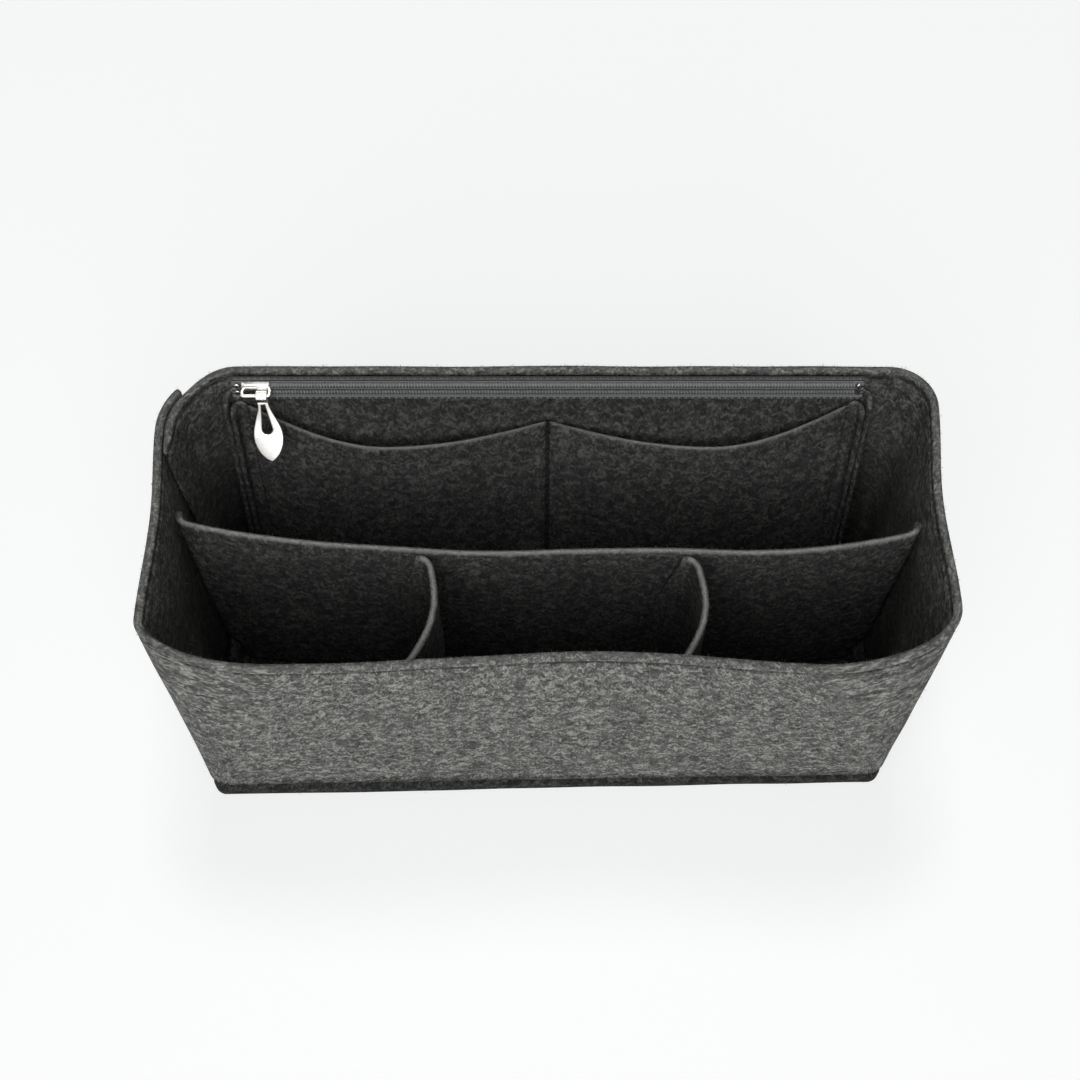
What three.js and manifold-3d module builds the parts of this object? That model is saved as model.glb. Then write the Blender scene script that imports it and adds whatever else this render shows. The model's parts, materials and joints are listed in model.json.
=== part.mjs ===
// Felt purse organizer insert: an open-topped felt tub that drops into a handbag. One long strip of
// felt makes the wall, a felt tray is sewn into its lower edge, a long divider and two cross dividers
// make three front pockets, and the rear wall carries a zip pocket with two slip pockets before it.

import * as THREE from 'three';
import { mergeVertices } from 'three/addons/utils/BufferGeometryUtils.js';
import Module from 'manifold-3d';

const wasm = await Module();
wasm.setup();

// Overall size in millimetres: X along the length, Y from front to rear, Z up from the table.
const RIM_LENGTH = 282;
const RIM_DEPTH = 122;
const BASE_LENGTH = 263;
const BASE_DEPTH = 103;
const HEIGHT = 135;

// Felt thicknesses, and the gap left between pieces that are sewn to each other.
const WALL_FELT = 3;
const BASE_FELT = 3;
const DIVIDER_FELT = 2.5;
const POCKET_FELT = 2;
const SEAT = 0.3;

// Rim corners, along X and along Y, and how far the slack rim dips inward between them.
const FRONT_CORNER = { x: 50, y: 20 };
const REAR_CORNER = { x: 24, y: 22 };
const FRONT_WAIST = 4.5;
const FRONT_WAIST_X = 18;
const SIDE_PINCH = 2;

// The hem: from the table up, a rounded standing edge, a flat band and a seam that draws the wall in.
const HEM_ROUND = 3;
const HEM_TUCK = 1;
const HEM_BAND = 4;
const HEM_SEAM_SPREAD = 3.5;
const HEM_SEAM_PULL = 1.4;

// The base tray: its edge folds up inside the wall to a flange that the hem seam catches.
const TRAY_GAP = 0.5;
const FLANGE_OVER_SEAM = 3.5;
const BASE_FOLD = 1.5;
const BASE_INNER_CORNER = 1.5;

// The lap: the wall strip's first end runs inside its last end at the rear left corner.
const LAP_LENGTH = 10;
const LAP_EASE = 4;
const LAP_ANGLE = THREE.MathUtils.degToRad(40);
const LAP_GAP = 0.5;

// The long divider, bowed to the front, with end tabs turned to the rear along the side walls.
const DIVIDER_DROP = 20;
const DIVIDER_END_Y = 5;
const DIVIDER_BOW = 10;
const DIVIDER_FOOT_BOW = 4;
const DIVIDER_TAB = 15;

// The cross dividers, by their X at the long divider and at the front wall, with tabs to the left.
const CROSS_LEFT = { rear: -45, front: -50 };
const CROSS_RIGHT = { rear: 50, front: 46 };
const CROSS_BOW = 6;
const CROSS_TAB = 12;

// Turned felt: the length of a fold's legs, and the height over which a lining steps off the flange.
const DIVIDER_FOLD = 4;
const POCKET_FOLD = 3;
const FLANGE_STEP = 10;

// The rear pocket panels, with end tabs turned to the front, and the two slack slip pocket mouths, whose
// outer ends stay a little below the zip.
const PANEL_END_GAP = 22;
const PANEL_TAB = 8;
const MOUTH_GAPE = 6.5;
const MOUTH_LOW_X = 61;
const MOUTH_LOW_DROP = 31.5;
const MOUTH_CENTRE_DROP = 24;
const MOUTH_END_GAP = 1.5;

// The zip: two tapes, each with a coil along its inner edge, hung just below the rear rim.
const ZIP_DROP = 0.8;
const ZIP_TILT = THREE.MathUtils.degToRad(16);
const TAPE = 0.5;
const UPPER_TAPE_BORDER = 1.1;
const LOWER_TAPE_BORDER = 2.3;
const TAPE_END_GAP = 1.5;
const COIL_WIDTH = 2;
const COIL_HEIGHT = 1.6;
const COIL_CHAMFER = 0.5;
const CHAIN_END_GAP = 7;
const STOP_LENGTH = 2;

// The slider: two plates joined by a neck that runs between the coils, with a bridge for the puller.
const RUN = 0.3;
const SLIDER_LENGTH = 11.5;
const SLIDER_PLATE = 0.8;
const SLIDER_LIP = 0.7;
const SLIDER_NECK = 0.5;
const BRIDGE_WIDTH = 1.6;
const BRIDGE_BAR = 1.4;
const BRIDGE_LEG = 1.5;
const BRIDGE_ROUND = 1;
const WELD = 0.4;

// The puller: a pointed drop with a tapered slot, hung on the bridge by an eye. Its eye grips the bridge
// lightly, so the puller rests a little lifted.
const PULL_LENGTH = 25;
const PULL_WIDTH = 11;
const PULL_TIP = 9.5;
const PULL_THICKNESS = 1.6;
const EYE_WIDTH = 4;
const EYE_WALL = 0.85;
const PULL_SLOT_LENGTH = 11.5;
const PULL_SLOT_WIDTH = 3.8;
const PULL_SLOT_NECK = 1;
const PULL_SLOT_DROP = 0.9;
const PULL_REST = THREE.MathUtils.degToRad(16);

// Sewing thread, and how far seams keep from the edges of what they sew.
const THREAD = 0.6;
const RIM_SEAM_DROP = 3.5;
const TAPE_SEAM_MARGIN = 0.5;
const PANEL_SEAM_MARGIN = 2;
const SEAM_END_MARGIN = 4;

// How finely curved stretches are divided.
const CORNER_STEPS = 6;
const SIDE_STEPS = 6;
const FRONT_STEPS = 14;
const REAR_STEPS = 4;
const WALL_STEPS = 4;
const FOLD_STEPS = 4;
const BOW_STEPS = 14;
const CROSS_STEPS = 8;
const MOUTH_STEPS = 20;
const BULGE_STEPS = 5;
const SEAM_STEPS = 6;
const ROUND_SIDES = 10;

// Shape factors: curves' exponents, Bezier handles as shares of their stretch, a middle share and
// a small step along the outline.
const BOW_CURVE = 4;
const MOUTH_CURVE = 1.8;
const GAPE_CURVE = 0.8;
const PULL_HANDLE = 0.35;
const TIP_HANDLE = 0.4;
const TIP_POINT = 0.22;
const MIDWAY = 0.5;
const TANGENT_STEP = 0.02;

const { lerp, clamp, smoothstep } = THREE.MathUtils;
const QUARTER = Math.PI / 2;
const ALONG = new THREE.Vector3(1, 0, 0);
const UP = new THREE.Vector3(0, 0, 1);
const OUT = new THREE.Vector3(0, -1, 0);
const evenly = (steps, make) => Array.from({ length: steps + 1 }, (_, step) => make(step / steps));

// Materials: heather grey felt, woven zip tape, nylon coil, thread and bright plated metal.
const finish = (color, roughness, metalness) => () => (
  new THREE.MeshStandardMaterial({ color, roughness, metalness })
);
const wallFelt = finish('#6a6a67', 1, 0);
const liningFelt = finish('#4d4d4d', 1, 0);
const tapeCloth = finish('#4b4d4f', 0.9, 0);
const coilNylon = finish('#55585a', 0.6, 0);
const sewingThread = finish('#3f4040', 0.8, 0);
const platedMetal = finish('#dcdbd8', 0.25, 1);

const organizer = new THREE.Group();
const zip = new THREE.Group();
organizer.add(zip);

function addPiece(parent, name, geometry, makeMaterial) {
  const mesh = new THREE.Mesh(geometry, makeMaterial());
  mesh.name = name;
  parent.add(mesh);
  return mesh;
}

// Heights and insets that several pieces share.
const hemSeam = HEM_ROUND + HEM_BAND + HEM_SEAM_SPREAD;
const flangeTop = hemSeam + FLANGE_OVER_SEAM;
const liningBottom = BASE_FELT + BASE_FOLD + SEAT;
const dividerTop = HEIGHT - DIVIDER_DROP;
const panelLength = RIM_LENGTH - 2 * PANEL_END_GAP;
const chainLength = panelLength - 2 * CHAIN_END_GAP;
const overWall = WALL_FELT + SEAT;
const trayFace = WALL_FELT + TRAY_GAP;
const overFlange = trayFace + BASE_FELT + SEAT;
const threadLift = SEAT + THREAD / 2;

// The wall's outer face is a plan outline at each height: four corners, clockwise from the rear left
// one, each followed by a side.
const lapInset = WALL_FELT + LAP_GAP;
const frontFoot = trayFace + BASE_FELT + BASE_FOLD + BASE_INNER_CORNER;
const rearFoot = frontFoot + lapInset;
const CORNERS = [
  { x: -1, y: 1, size: REAR_CORNER, foot: rearFoot },
  { x: 1, y: 1, size: REAR_CORNER, foot: rearFoot },
  { x: 1, y: -1, size: FRONT_CORNER, foot: frontFoot },
  { x: -1, y: -1, size: FRONT_CORNER, foot: frontFoot },
];
const STRETCH_STEPS = [
  CORNER_STEPS, REAR_STEPS, CORNER_STEPS, SIDE_STEPS, CORNER_STEPS, FRONT_STEPS, CORNER_STEPS, SIDE_STEPS,
];
const STRETCHES = STRETCH_STEPS.length;
const SIDES = ['rear', 'right', 'front', 'left'];

// How far the outer face is drawn in near the table, by the rounded edge and by the hem seam.
function hemInset(z) {
  const edge = Math.max(0, 1 - z / HEM_ROUND);
  const seam = Math.max(0, 1 - Math.abs(z - hemSeam) / HEM_SEAM_SPREAD);
  return HEM_TUCK * edge * edge + HEM_SEAM_PULL * seam;
}

const halfLengthAt = (z) => lerp(BASE_LENGTH, RIM_LENGTH, z / HEIGHT) / 2 - hemInset(z);
const halfDepthAt = (z) => lerp(BASE_DEPTH, RIM_DEPTH, z / HEIGHT) / 2 - hemInset(z);

function cornerPoint(index, turn, z) {
  const corner = CORNERS[index % CORNERS.length];
  const x = lerp(corner.foot, corner.size.x, z / HEIGHT);
  const y = lerp(corner.foot, corner.size.y, z / HEIGHT);
  const angle = Math.PI - (index + turn) * QUARTER;
  return new THREE.Vector2(
    corner.x * (halfLengthAt(z) - x) + x * Math.cos(angle),
    corner.y * (halfDepthAt(z) - y) + y * Math.sin(angle),
  );
}

// Zero at both ends of a side and one at its peak.
function dip(share, peak) {
  const evened = clamp(share, 0, 1) ** (Math.log(MIDWAY) / Math.log(peak));
  return (1 - Math.cos(2 * Math.PI * evened)) / 2;
}

// A point between two corners, drawn in where the slack front and sides dip toward the rim.
function sidePoint(index, share, z) {
  const from = cornerPoint(index, 1, z);
  const to = cornerPoint(index + 1, 0, z);
  const point = from.clone().lerp(to, share);
  const rise = (z / HEIGHT) ** 2;
  if (SIDES[index] === 'front') {
    const peak = (from.x - FRONT_WAIST_X) / (from.x - to.x);
    point.y += FRONT_WAIST * rise * dip(share, peak);
  } else if (SIDES[index] !== 'rear') {
    point.x -= Math.sign(point.x) * SIDE_PINCH * rise * dip(share, MIDWAY);
  }
  return point;
}

// The outline by station: each even whole number starts a corner and each odd one a side.
function outlinePoint(station, z) {
  const start = Math.floor(station);
  const stretch = ((start % STRETCHES) + STRETCHES) % STRETCHES;
  const index = Math.floor(stretch / 2);
  const makePoint = stretch % 2 === 0 ? cornerPoint : sidePoint;
  return makePoint(index, station - start, z);
}

function outlineDirection(station, z) {
  const ahead = outlinePoint(station + TANGENT_STEP, z);
  return ahead.sub(outlinePoint(station - TANGENT_STEP, z)).normalize();
}

// A point in the wall by its station, its height and its depth below the outer face.
function wallPoint(station, z, inset) {
  const point = outlinePoint(station, z);
  const along = outlineDirection(station, z);
  return new THREE.Vector3(point.x + along.y * inset, point.y - along.x * inset, z);
}

// The same, on the front by X or on the right by Y.
function wallAt(side, place, z, inset) {
  const axis = side === 'front' ? 'x' : 'y';
  const index = SIDES.indexOf(side);
  const from = cornerPoint(index, 1, z)[axis];
  const to = cornerPoint(index + 1, 0, z)[axis];
  return wallPoint(2 * index + 1 + (place - from) / (to - from), z, inset);
}

function stationsBetween(first, last) {
  const stations = [first];
  for (let start = Math.floor(first); start < last; start += 1) {
    const steps = STRETCH_STEPS[(start + STRETCHES) % STRETCHES];
    const inside = evenly(steps, (share) => start + share).slice(1);
    stations.push(...inside.filter((s) => s > first + TANGENT_STEP && s < last - TANGENT_STEP));
  }
  return [...stations, last];
}

// A closed solid from points and triangles, with its faces turned outward.
function solid(points, triangles) {
  const volume = triangles.reduce((sum, [a, b, c]) => (
    sum + points[a].dot(new THREE.Vector3().crossVectors(points[b], points[c]))
  ), 0);
  const outward = volume > 0 ? triangles : triangles.map(([a, b, c]) => [a, c, b]);
  const geometry = new THREE.BufferGeometry().setFromPoints(points);
  geometry.setIndex(outward.flat());
  return geometry;
}

const quad = (a, b, c, d) => [[a, b, c], [a, c, d]];

// A sheet of felt: rows of points along its middle, thickened in plan by half to each side.
function feltSheet(rows, thickness) {
  const columns = rows[0].length;
  const points = [thickness / 2, -thickness / 2].flatMap((offset) => rows.flatMap((row) => (
    row.map((point, i) => {
      const next = row[Math.min(i + 1, columns - 1)];
      const along = next.clone().sub(row[Math.max(i - 1, 0)]).setZ(0).normalize();
      return new THREE.Vector3(point.x + along.y * offset, point.y - along.x * offset, point.z);
    })
  )));
  const front = (row, i) => row * columns + i;
  const back = (row, i) => (rows.length + row) * columns + i;
  const top = rows.length - 1;
  const end = columns - 1;
  const triangles = [];
  for (let i = 0; i < end; i += 1) {
    for (let row = 0; row < top; row += 1) {
      triangles.push(...quad(front(row, i), front(row, i + 1), front(row + 1, i + 1), front(row + 1, i)));
      triangles.push(...quad(back(row, i), back(row + 1, i), back(row + 1, i + 1), back(row, i + 1)));
    }
    triangles.push(...quad(back(0, i), back(0, i + 1), front(0, i + 1), front(0, i)));
    triangles.push(...quad(front(top, i), front(top, i + 1), back(top, i + 1), back(top, i)));
  }
  for (let row = 0; row < top; row += 1) {
    triangles.push(...quad(front(row, 0), front(row + 1, 0), back(row + 1, 0), back(row, 0)));
    triangles.push(...quad(back(row, end), back(row + 1, end), front(row + 1, end), front(row, end)));
  }
  return solid(points, triangles);
}

// A solid of rings joined in turn, closed by a fan at each end.
function ringSolid(rings) {
  const size = rings[0].length;
  const points = rings.flat();
  const last = points.length - size;
  const middle = (ring) => (
    ring.reduce((sum, point) => sum.add(point), new THREE.Vector3()).divideScalar(size)
  );
  const bottom = points.push(middle(rings[0])) - 1;
  const top = points.push(middle(rings.at(-1))) - 1;
  const triangles = [];
  for (let i = 0; i < size; i += 1) {
    const next = (i + 1) % size;
    for (let ring = 0; ring < last; ring += size) {
      triangles.push(...quad(ring + i, ring + next, ring + size + next, ring + size + i));
    }
    triangles.push([bottom, next, i], [top, last + i, last + next]);
  }
  return solid(points, triangles);
}

// A soft fold from one leg's end to the other's, round a corner point.
const fold = (from, corner, to) => (
  new THREE.QuadraticBezierCurve3(from, corner, to).getPoints(FOLD_STEPS)
);

const mirrored = (point) => point.clone().setX(-point.x);

// A row with its right end given, mirrored to the left and joined by a middle stretch.
function mirroredRow(middle, right) {
  return [...right.map(mirrored).reverse(), ...middle, ...right];
}

// An upright seam: a thin strip of thread, by the centre and the direction across it at each height.
function uprightSeam(bottom, top, centreAt, across) {
  const half = across.clone().setLength(THREAD / 2);
  return feltSheet(evenly(SEAM_STEPS, (share) => {
    const centre = centreAt(lerp(bottom, top, share));
    return [centre.clone().sub(half), centre.clone().add(half)];
  }), THREAD);
}

// A level seam: a thin strip of thread round the wall's outer face.
function levelSeam(height, first, last) {
  const stations = stationsBetween(first, last);
  return feltSheet([height - THREAD / 2, height + THREAD / 2].map((z) => (
    stations.map((station) => wallPoint(station, z, -threadLift))
  )), THREAD);
}

const polygon = (corners) => new THREE.Shape(corners.map(([x, y]) => new THREE.Vector2(x, y)));

// An outline extruded by equal parts to both sides of its plane.
function extrude(shape, depth, right, up) {
  const options = { depth, bevelEnabled: false, curveSegments: ROUND_SIDES };
  const geometry = new THREE.ExtrudeGeometry(shape, options);
  geometry.translate(0, 0, -depth / 2);
  const normal = new THREE.Vector3().crossVectors(right, up);
  return geometry.applyMatrix4(new THREE.Matrix4().makeBasis(right, up, normal));
}

function toManifold(geometry) {
  const bare = geometry.clone();
  bare.deleteAttribute('normal');
  bare.deleteAttribute('uv');
  const merged = mergeVertices(bare);
  const vertProperties = merged.getAttribute('position').array;
  const triVerts = new Uint32Array(merged.getIndex().array);
  return new wasm.Manifold(new wasm.Mesh({ numProp: 3, vertProperties, triVerts }));
}

function joined(first, second) {
  const mesh = toManifold(first).add(toManifold(second)).getMesh();
  const geometry = new THREE.BufferGeometry();
  geometry.setAttribute('position', new THREE.BufferAttribute(mesh.vertProperties, 3));
  geometry.setIndex(new THREE.BufferAttribute(mesh.triVerts, 1));
  return geometry;
}

// The wall strip: it starts as a flap inside the left wall, runs round clockwise and laps over itself.
const lapShare = LAP_ANGLE / QUARTER;
const sideLength = RIM_DEPTH - FRONT_CORNER.y - REAR_CORNER.y;
const wallStart = -LAP_LENGTH / sideLength;
const wallEnd = STRETCHES + lapShare;
const lapEaseStart = wallStart - LAP_EASE / sideLength;

// How far the flap pushes its own felt, and what lies inside it, in from the outline.
function lapDepth(station) {
  const past = station > STRETCHES / 2 ? station - STRETCHES : station;
  return lapInset * smoothstep(past, lapEaseStart, wallStart) * (1 - smoothstep(past, lapShare, 1));
}

function outerBand() {
  const strip = (station) => WALL_FELT / 2 + (station < STRETCHES / 2 ? lapDepth(station) : 0);
  const hemLevels = [0, HEM_ROUND / 2, HEM_ROUND, HEM_ROUND + HEM_BAND, hemSeam];
  const hemTop = hemSeam + HEM_SEAM_SPREAD;
  const levels = [...hemLevels, ...evenly(WALL_STEPS, (share) => lerp(hemTop, HEIGHT, share))];
  const stations = stationsBetween(wallStart, wallEnd);
  return feltSheet(levels.map((z) => (
    stations.map((station) => wallPoint(station, z, strip(station)))
  )), WALL_FELT);
}

// The base: a flat floor whose edge folds up into a flange all round.
function basePanel() {
  const eased = [lapEaseStart, wallStart].map((station) => STRETCHES + station);
  const stations = [
    ...stationsBetween(0, eased[0]),
    ...stationsBetween(eased[1], STRETCHES).slice(0, -1),
  ];
  const ring = (z, inset) => stations.map((station) => (
    wallPoint(station, z, inset + lapDepth(station))
  ));
  const folded = (floor, face, radius) => evenly(FOLD_STEPS, (share) => ring(
    floor + radius * (1 - Math.cos(share * QUARTER)),
    face + radius * (1 - Math.sin(share * QUARTER)),
  ));
  const upright = (face) => [HEM_ROUND + HEM_BAND, hemSeam, flangeTop].map((z) => ring(z, face));
  const inner = trayFace + BASE_FELT;
  return ringSolid([
    ...folded(0, trayFace, BASE_FELT + BASE_FOLD),
    ...upright(trayFace),
    ...upright(inner).reverse(),
    ...folded(BASE_FELT, inner, BASE_FOLD).reverse(),
  ]);
}

// Linings lie on the flange at the bottom and step over to the wall above it.
function liningInset(z) {
  return lerp(overFlange, overWall, clamp((z - flangeTop - SEAT) / FLANGE_STEP, 0, 1));
}

const stepTop = flangeTop + SEAT + FLANGE_STEP;
const liningMiddle = lerp(stepTop, dividerTop, MIDWAY);
const liningLevels = [liningBottom, hemSeam, flangeTop + SEAT, stepTop, liningMiddle, dividerTop];

// The long divider's middle line: how far it reaches to each side, and its Y at each X.
function dividerReach(z) {
  return wallAt('right', DIVIDER_END_Y, z, liningInset(z) + DIVIDER_FELT / 2).x;
}

function dividerPoint(x, z) {
  const bow = lerp(DIVIDER_FOOT_BOW, DIVIDER_BOW, z / dividerTop);
  const share = Math.abs(x) / dividerReach(z);
  return new THREE.Vector3(x, DIVIDER_END_Y - bow * (1 - share ** BOW_CURVE), z);
}

function longDivider() {
  return feltSheet(liningLevels.map((z) => {
    const reach = dividerReach(z);
    const straight = reach - DIVIDER_FOLD;
    const tabAt = (y) => wallAt('right', y, z, liningInset(z) + DIVIDER_FELT / 2);
    const corner = new THREE.Vector3(reach, DIVIDER_END_Y, z);
    const turn = fold(dividerPoint(straight, z), corner, tabAt(DIVIDER_END_Y + DIVIDER_FOLD));
    const middle = evenly(BOW_STEPS, (share) => dividerPoint(lerp(-straight, straight, share), z));
    return mirroredRow(middle, [...turn.slice(1), tabAt(DIVIDER_END_Y + DIVIDER_TAB)]);
  }), DIVIDER_FELT);
}

// A cross divider's two tabs: one on the long divider's front face, one on the front wall.
const crossRearTab = (x, z, lift) => {
  const point = dividerPoint(x, z);
  return point.setY(point.y - DIVIDER_FELT / 2 - SEAT - lift);
};
const crossFrontTab = (x, z, lift) => wallAt('front', x, z, liningInset(z) + lift);

function crossDivider({ rear, front }) {
  const lift = DIVIDER_FELT / 2;
  return feltSheet(liningLevels.map((z) => {
    const rearCorner = crossRearTab(rear, z, lift);
    const frontCorner = crossFrontTab(front, z, lift);
    const webAt = (share) => {
      const point = rearCorner.clone().lerp(frontCorner, share);
      return point.setX(point.x + CROSS_BOW * Math.sin(Math.PI * share));
    };
    const foldShare = DIVIDER_FOLD / (rearCorner.y - frontCorner.y);
    const web = evenly(CROSS_STEPS, (share) => webAt(lerp(foldShare, 1 - foldShare, share)));
    return [
      crossRearTab(rear - CROSS_TAB, z, lift),
      ...fold(crossRearTab(rear - DIVIDER_FOLD, z, lift), rearCorner, web[0]),
      ...web.slice(1, -1),
      ...fold(web.at(-1), frontCorner, crossFrontTab(front - DIVIDER_FOLD, z, lift)),
      crossFrontTab(front - CROSS_TAB, z, lift),
    ];
  }), DIVIDER_FELT);
}

// The zip's own frame: X along the chain, Z up the tapes and Y into the pocket. It leans back from
// the rear wall just enough for the slider's rear plate and the zip pocket panel to fit behind it.
const halfSlot = SLIDER_NECK / 2 + RUN;
const coilEdge = halfSlot + COIL_WIDTH;
const lipInner = coilEdge + RUN;
const lipOuter = lipInner + SLIDER_LIP;
const upperEdge = lipOuter + UPPER_TAPE_BORDER;
const lowerEdge = lipOuter + LOWER_TAPE_BORDER;
const panelEdge = coilEdge + 2 * RUN;
const wallLean = Math.atan2(RIM_DEPTH - BASE_DEPTH, 2 * HEIGHT);
const zipSpread = Math.sin(ZIP_TILT - wallLean);
const sliderDepth = TAPE / 2 + RUN + SLIDER_PLATE + RUN;
const panelDepth = TAPE / 2 + SEAT + POCKET_FELT + SEAT;
const zipStandoff = Math.max(
  sliderDepth - (upperEdge - coilEdge) * zipSpread,
  panelDepth - (upperEdge + panelEdge) * zipSpread,
);
const zipTop = HEIGHT - ZIP_DROP;
zip.position.set(
  0,
  halfDepthAt(zipTop) - WALL_FELT - zipStandoff / Math.cos(ZIP_TILT) - upperEdge * Math.sin(ZIP_TILT),
  zipTop - upperEdge * Math.cos(ZIP_TILT),
);
zip.rotation.x = -ZIP_TILT;
zip.updateMatrix();
const zipPoint = (up, out) => new THREE.Vector3(0, -out, up).applyMatrix4(zip.matrix);

// The zip pocket panel hangs behind the lower tape and runs down in front of the flange.
const panelTop = zipPoint(-panelEdge, -(TAPE / 2 + SEAT));
const panelHalf = (panelLength - POCKET_FELT) / 2;

function panelPoint(x, z) {
  const foot = halfDepthAt(hemSeam) - overFlange - POCKET_FELT / 2;
  const head = panelTop.y + POCKET_FELT / 2;
  return new THREE.Vector3(x, lerp(foot, head, (z - hemSeam) / (panelTop.z - hemSeam)), z);
}

// A panel row with both ends turned to the front.
function turnedRow(half, tab, pointAt) {
  const straight = half - POCKET_FOLD;
  const corner = pointAt(half);
  const ahead = (distance) => corner.clone().setY(corner.y - distance);
  const turn = fold(pointAt(straight), corner, ahead(POCKET_FOLD));
  const middle = evenly(MOUTH_STEPS, (share) => pointAt(lerp(-straight, straight, share)));
  return mirroredRow(middle, [...turn.slice(1), ahead(tab)]);
}

function zipPocketPanel() {
  return feltSheet([liningBottom, panelTop.z].map((z) => (
    turnedRow(panelHalf, PANEL_TAB, (x) => panelPoint(x, z))
  )), POCKET_FELT);
}

// The slip pocket panel lies on the zip pocket panel at its ends and centre and gapes between them.
const slipHalf = panelHalf - POCKET_FELT - SEAT;
const slipStraight = slipHalf - POCKET_FOLD;
const mouthEndHeight = zipPoint(-lowerEdge, -TAPE / 2).z - MOUTH_END_GAP;

function slipPoint(x, share) {
  const away = Math.min(Math.abs(x), slipStraight);
  const inner = away < MOUTH_LOW_X;
  const stretch = inner ? MOUTH_LOW_X : slipStraight - MOUTH_LOW_X;
  const fromLow = Math.abs(away - MOUTH_LOW_X) / stretch;
  const side = inner ? HEIGHT - MOUTH_CENTRE_DROP : mouthEndHeight;
  const mouth = lerp(HEIGHT - MOUTH_LOW_DROP, side, fromLow ** MOUTH_CURVE);
  const point = panelPoint(x, lerp(liningBottom, mouth, share));
  const gape = MOUTH_GAPE * Math.cos(QUARTER * fromLow) * share ** GAPE_CURVE;
  return point.setY(point.y - POCKET_FELT - SEAT - gape);
}

function slipPocketPanel() {
  const tab = PANEL_TAB - POCKET_FELT - SEAT;
  return feltSheet(evenly(BULGE_STEPS, (share) => (
    turnedRow(slipHalf, tab, (x) => slipPoint(x, share))
  )), POCKET_FELT);
}

// A seam up the slip pocket panel's front face.
function slipSeam(x) {
  const lift = POCKET_FELT / 2 + threadLift;
  const top = slipPoint(x, 1).z;
  return uprightSeam(liningBottom + SEAM_END_MARGIN, top - SEAM_END_MARGIN, (z) => {
    const point = slipPoint(x, (z - liningBottom) / (top - liningBottom));
    return point.setY(point.y - lift);
  }, ALONG);
}

// Zip tapes, coils and stops, each placed by the side of the chain that it lies on.
const tapeLength = panelLength - 2 * (POCKET_FELT + TAPE_END_GAP);
const coilRear = TAPE / 2 + SEAT;
const coilFront = coilRear + COIL_HEIGHT;

function tape(side, edge) {
  const geometry = new THREE.BoxGeometry(tapeLength, TAPE, edge - halfSlot);
  return geometry.translate(0, 0, side * (halfSlot + edge) / 2);
}

function coil(side) {
  const outline = [
    [halfSlot, coilRear],
    [coilEdge, coilRear],
    [coilEdge, coilFront - COIL_CHAMFER],
    [coilEdge - COIL_CHAMFER, coilFront],
    [halfSlot + COIL_CHAMFER, coilFront],
    [halfSlot, coilFront - COIL_CHAMFER],
  ].map(([up, out]) => [side * up, out]);
  return extrude(polygon(outline), chainLength, UP, OUT);
}

// A stop block beyond one end of the chain, over the coils from one height to another.
function stop(end, bottom, top) {
  const geometry = new THREE.BoxGeometry(STOP_LENGTH, COIL_HEIGHT, top - bottom);
  const x = end * (chainLength / 2 + SEAT + STOP_LENGTH / 2);
  return geometry.translate(x, -(coilRear + coilFront) / 2, (bottom + top) / 2);
}

function tapeSeam(side, edge) {
  const geometry = new THREE.BoxGeometry(tapeLength, THREAD, THREAD);
  return geometry.translate(0, -(TAPE / 2 + threadLift), side * (edge - TAPE_SEAM_MARGIN));
}

// The slider's plates lie before and behind the chain, with lips round the coils.
const plateUnder = coilFront + RUN;
const plateOver = plateUnder + SLIDER_PLATE;
const rearPlateInner = -(TAPE / 2 + RUN);
const rearPlateOuter = rearPlateInner - SLIDER_PLATE;
const boreRadius = Math.hypot(BRIDGE_WIDTH, BRIDGE_BAR) / 2 + RUN;
const eyeRadius = boreRadius + EYE_WALL;
const pivotOut = plateOver + RUN + eyeRadius;
const bridgeTop = pivotOut + BRIDGE_BAR / 2;

function sliderBody() {
  const halfNeck = SLIDER_NECK / 2;
  const upperSide = [
    [lipOuter, plateOver],
    [lipOuter, TAPE / 2 + RUN],
    [lipInner, TAPE / 2 + RUN],
    [lipInner, plateUnder],
    [halfNeck, plateUnder],
    [halfNeck, rearPlateInner],
    [coilEdge, rearPlateInner],
    [coilEdge, rearPlateOuter],
  ];
  const lowerSide = upperSide.map(([up, out]) => [-up, out]).reverse();
  return extrude(polygon([...upperSide, ...lowerSide]), SLIDER_LENGTH, UP, OUT);
}

function bridge() {
  const halfWindow = EYE_WIDTH / 2 + RUN;
  const half = halfWindow + BRIDGE_LEG;
  const foot = plateOver - WELD;
  const outline = new THREE.Shape();
  outline.moveTo(-half, foot);
  outline.lineTo(half, foot);
  outline.lineTo(half, bridgeTop - BRIDGE_ROUND);
  outline.quadraticCurveTo(half, bridgeTop, half - BRIDGE_ROUND, bridgeTop);
  outline.lineTo(BRIDGE_ROUND - half, bridgeTop);
  outline.quadraticCurveTo(-half, bridgeTop, -half, bridgeTop - BRIDGE_ROUND);
  const windowFoot = plateOver - WELD / 2;
  const windowTop = bridgeTop - BRIDGE_BAR;
  outline.holes.push(polygon([
    [-halfWindow, windowFoot],
    [-halfWindow, windowTop],
    [halfWindow, windowTop],
    [halfWindow, windowFoot],
  ]));
  return extrude(outline, BRIDGE_WIDTH, ALONG, OUT);
}

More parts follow.
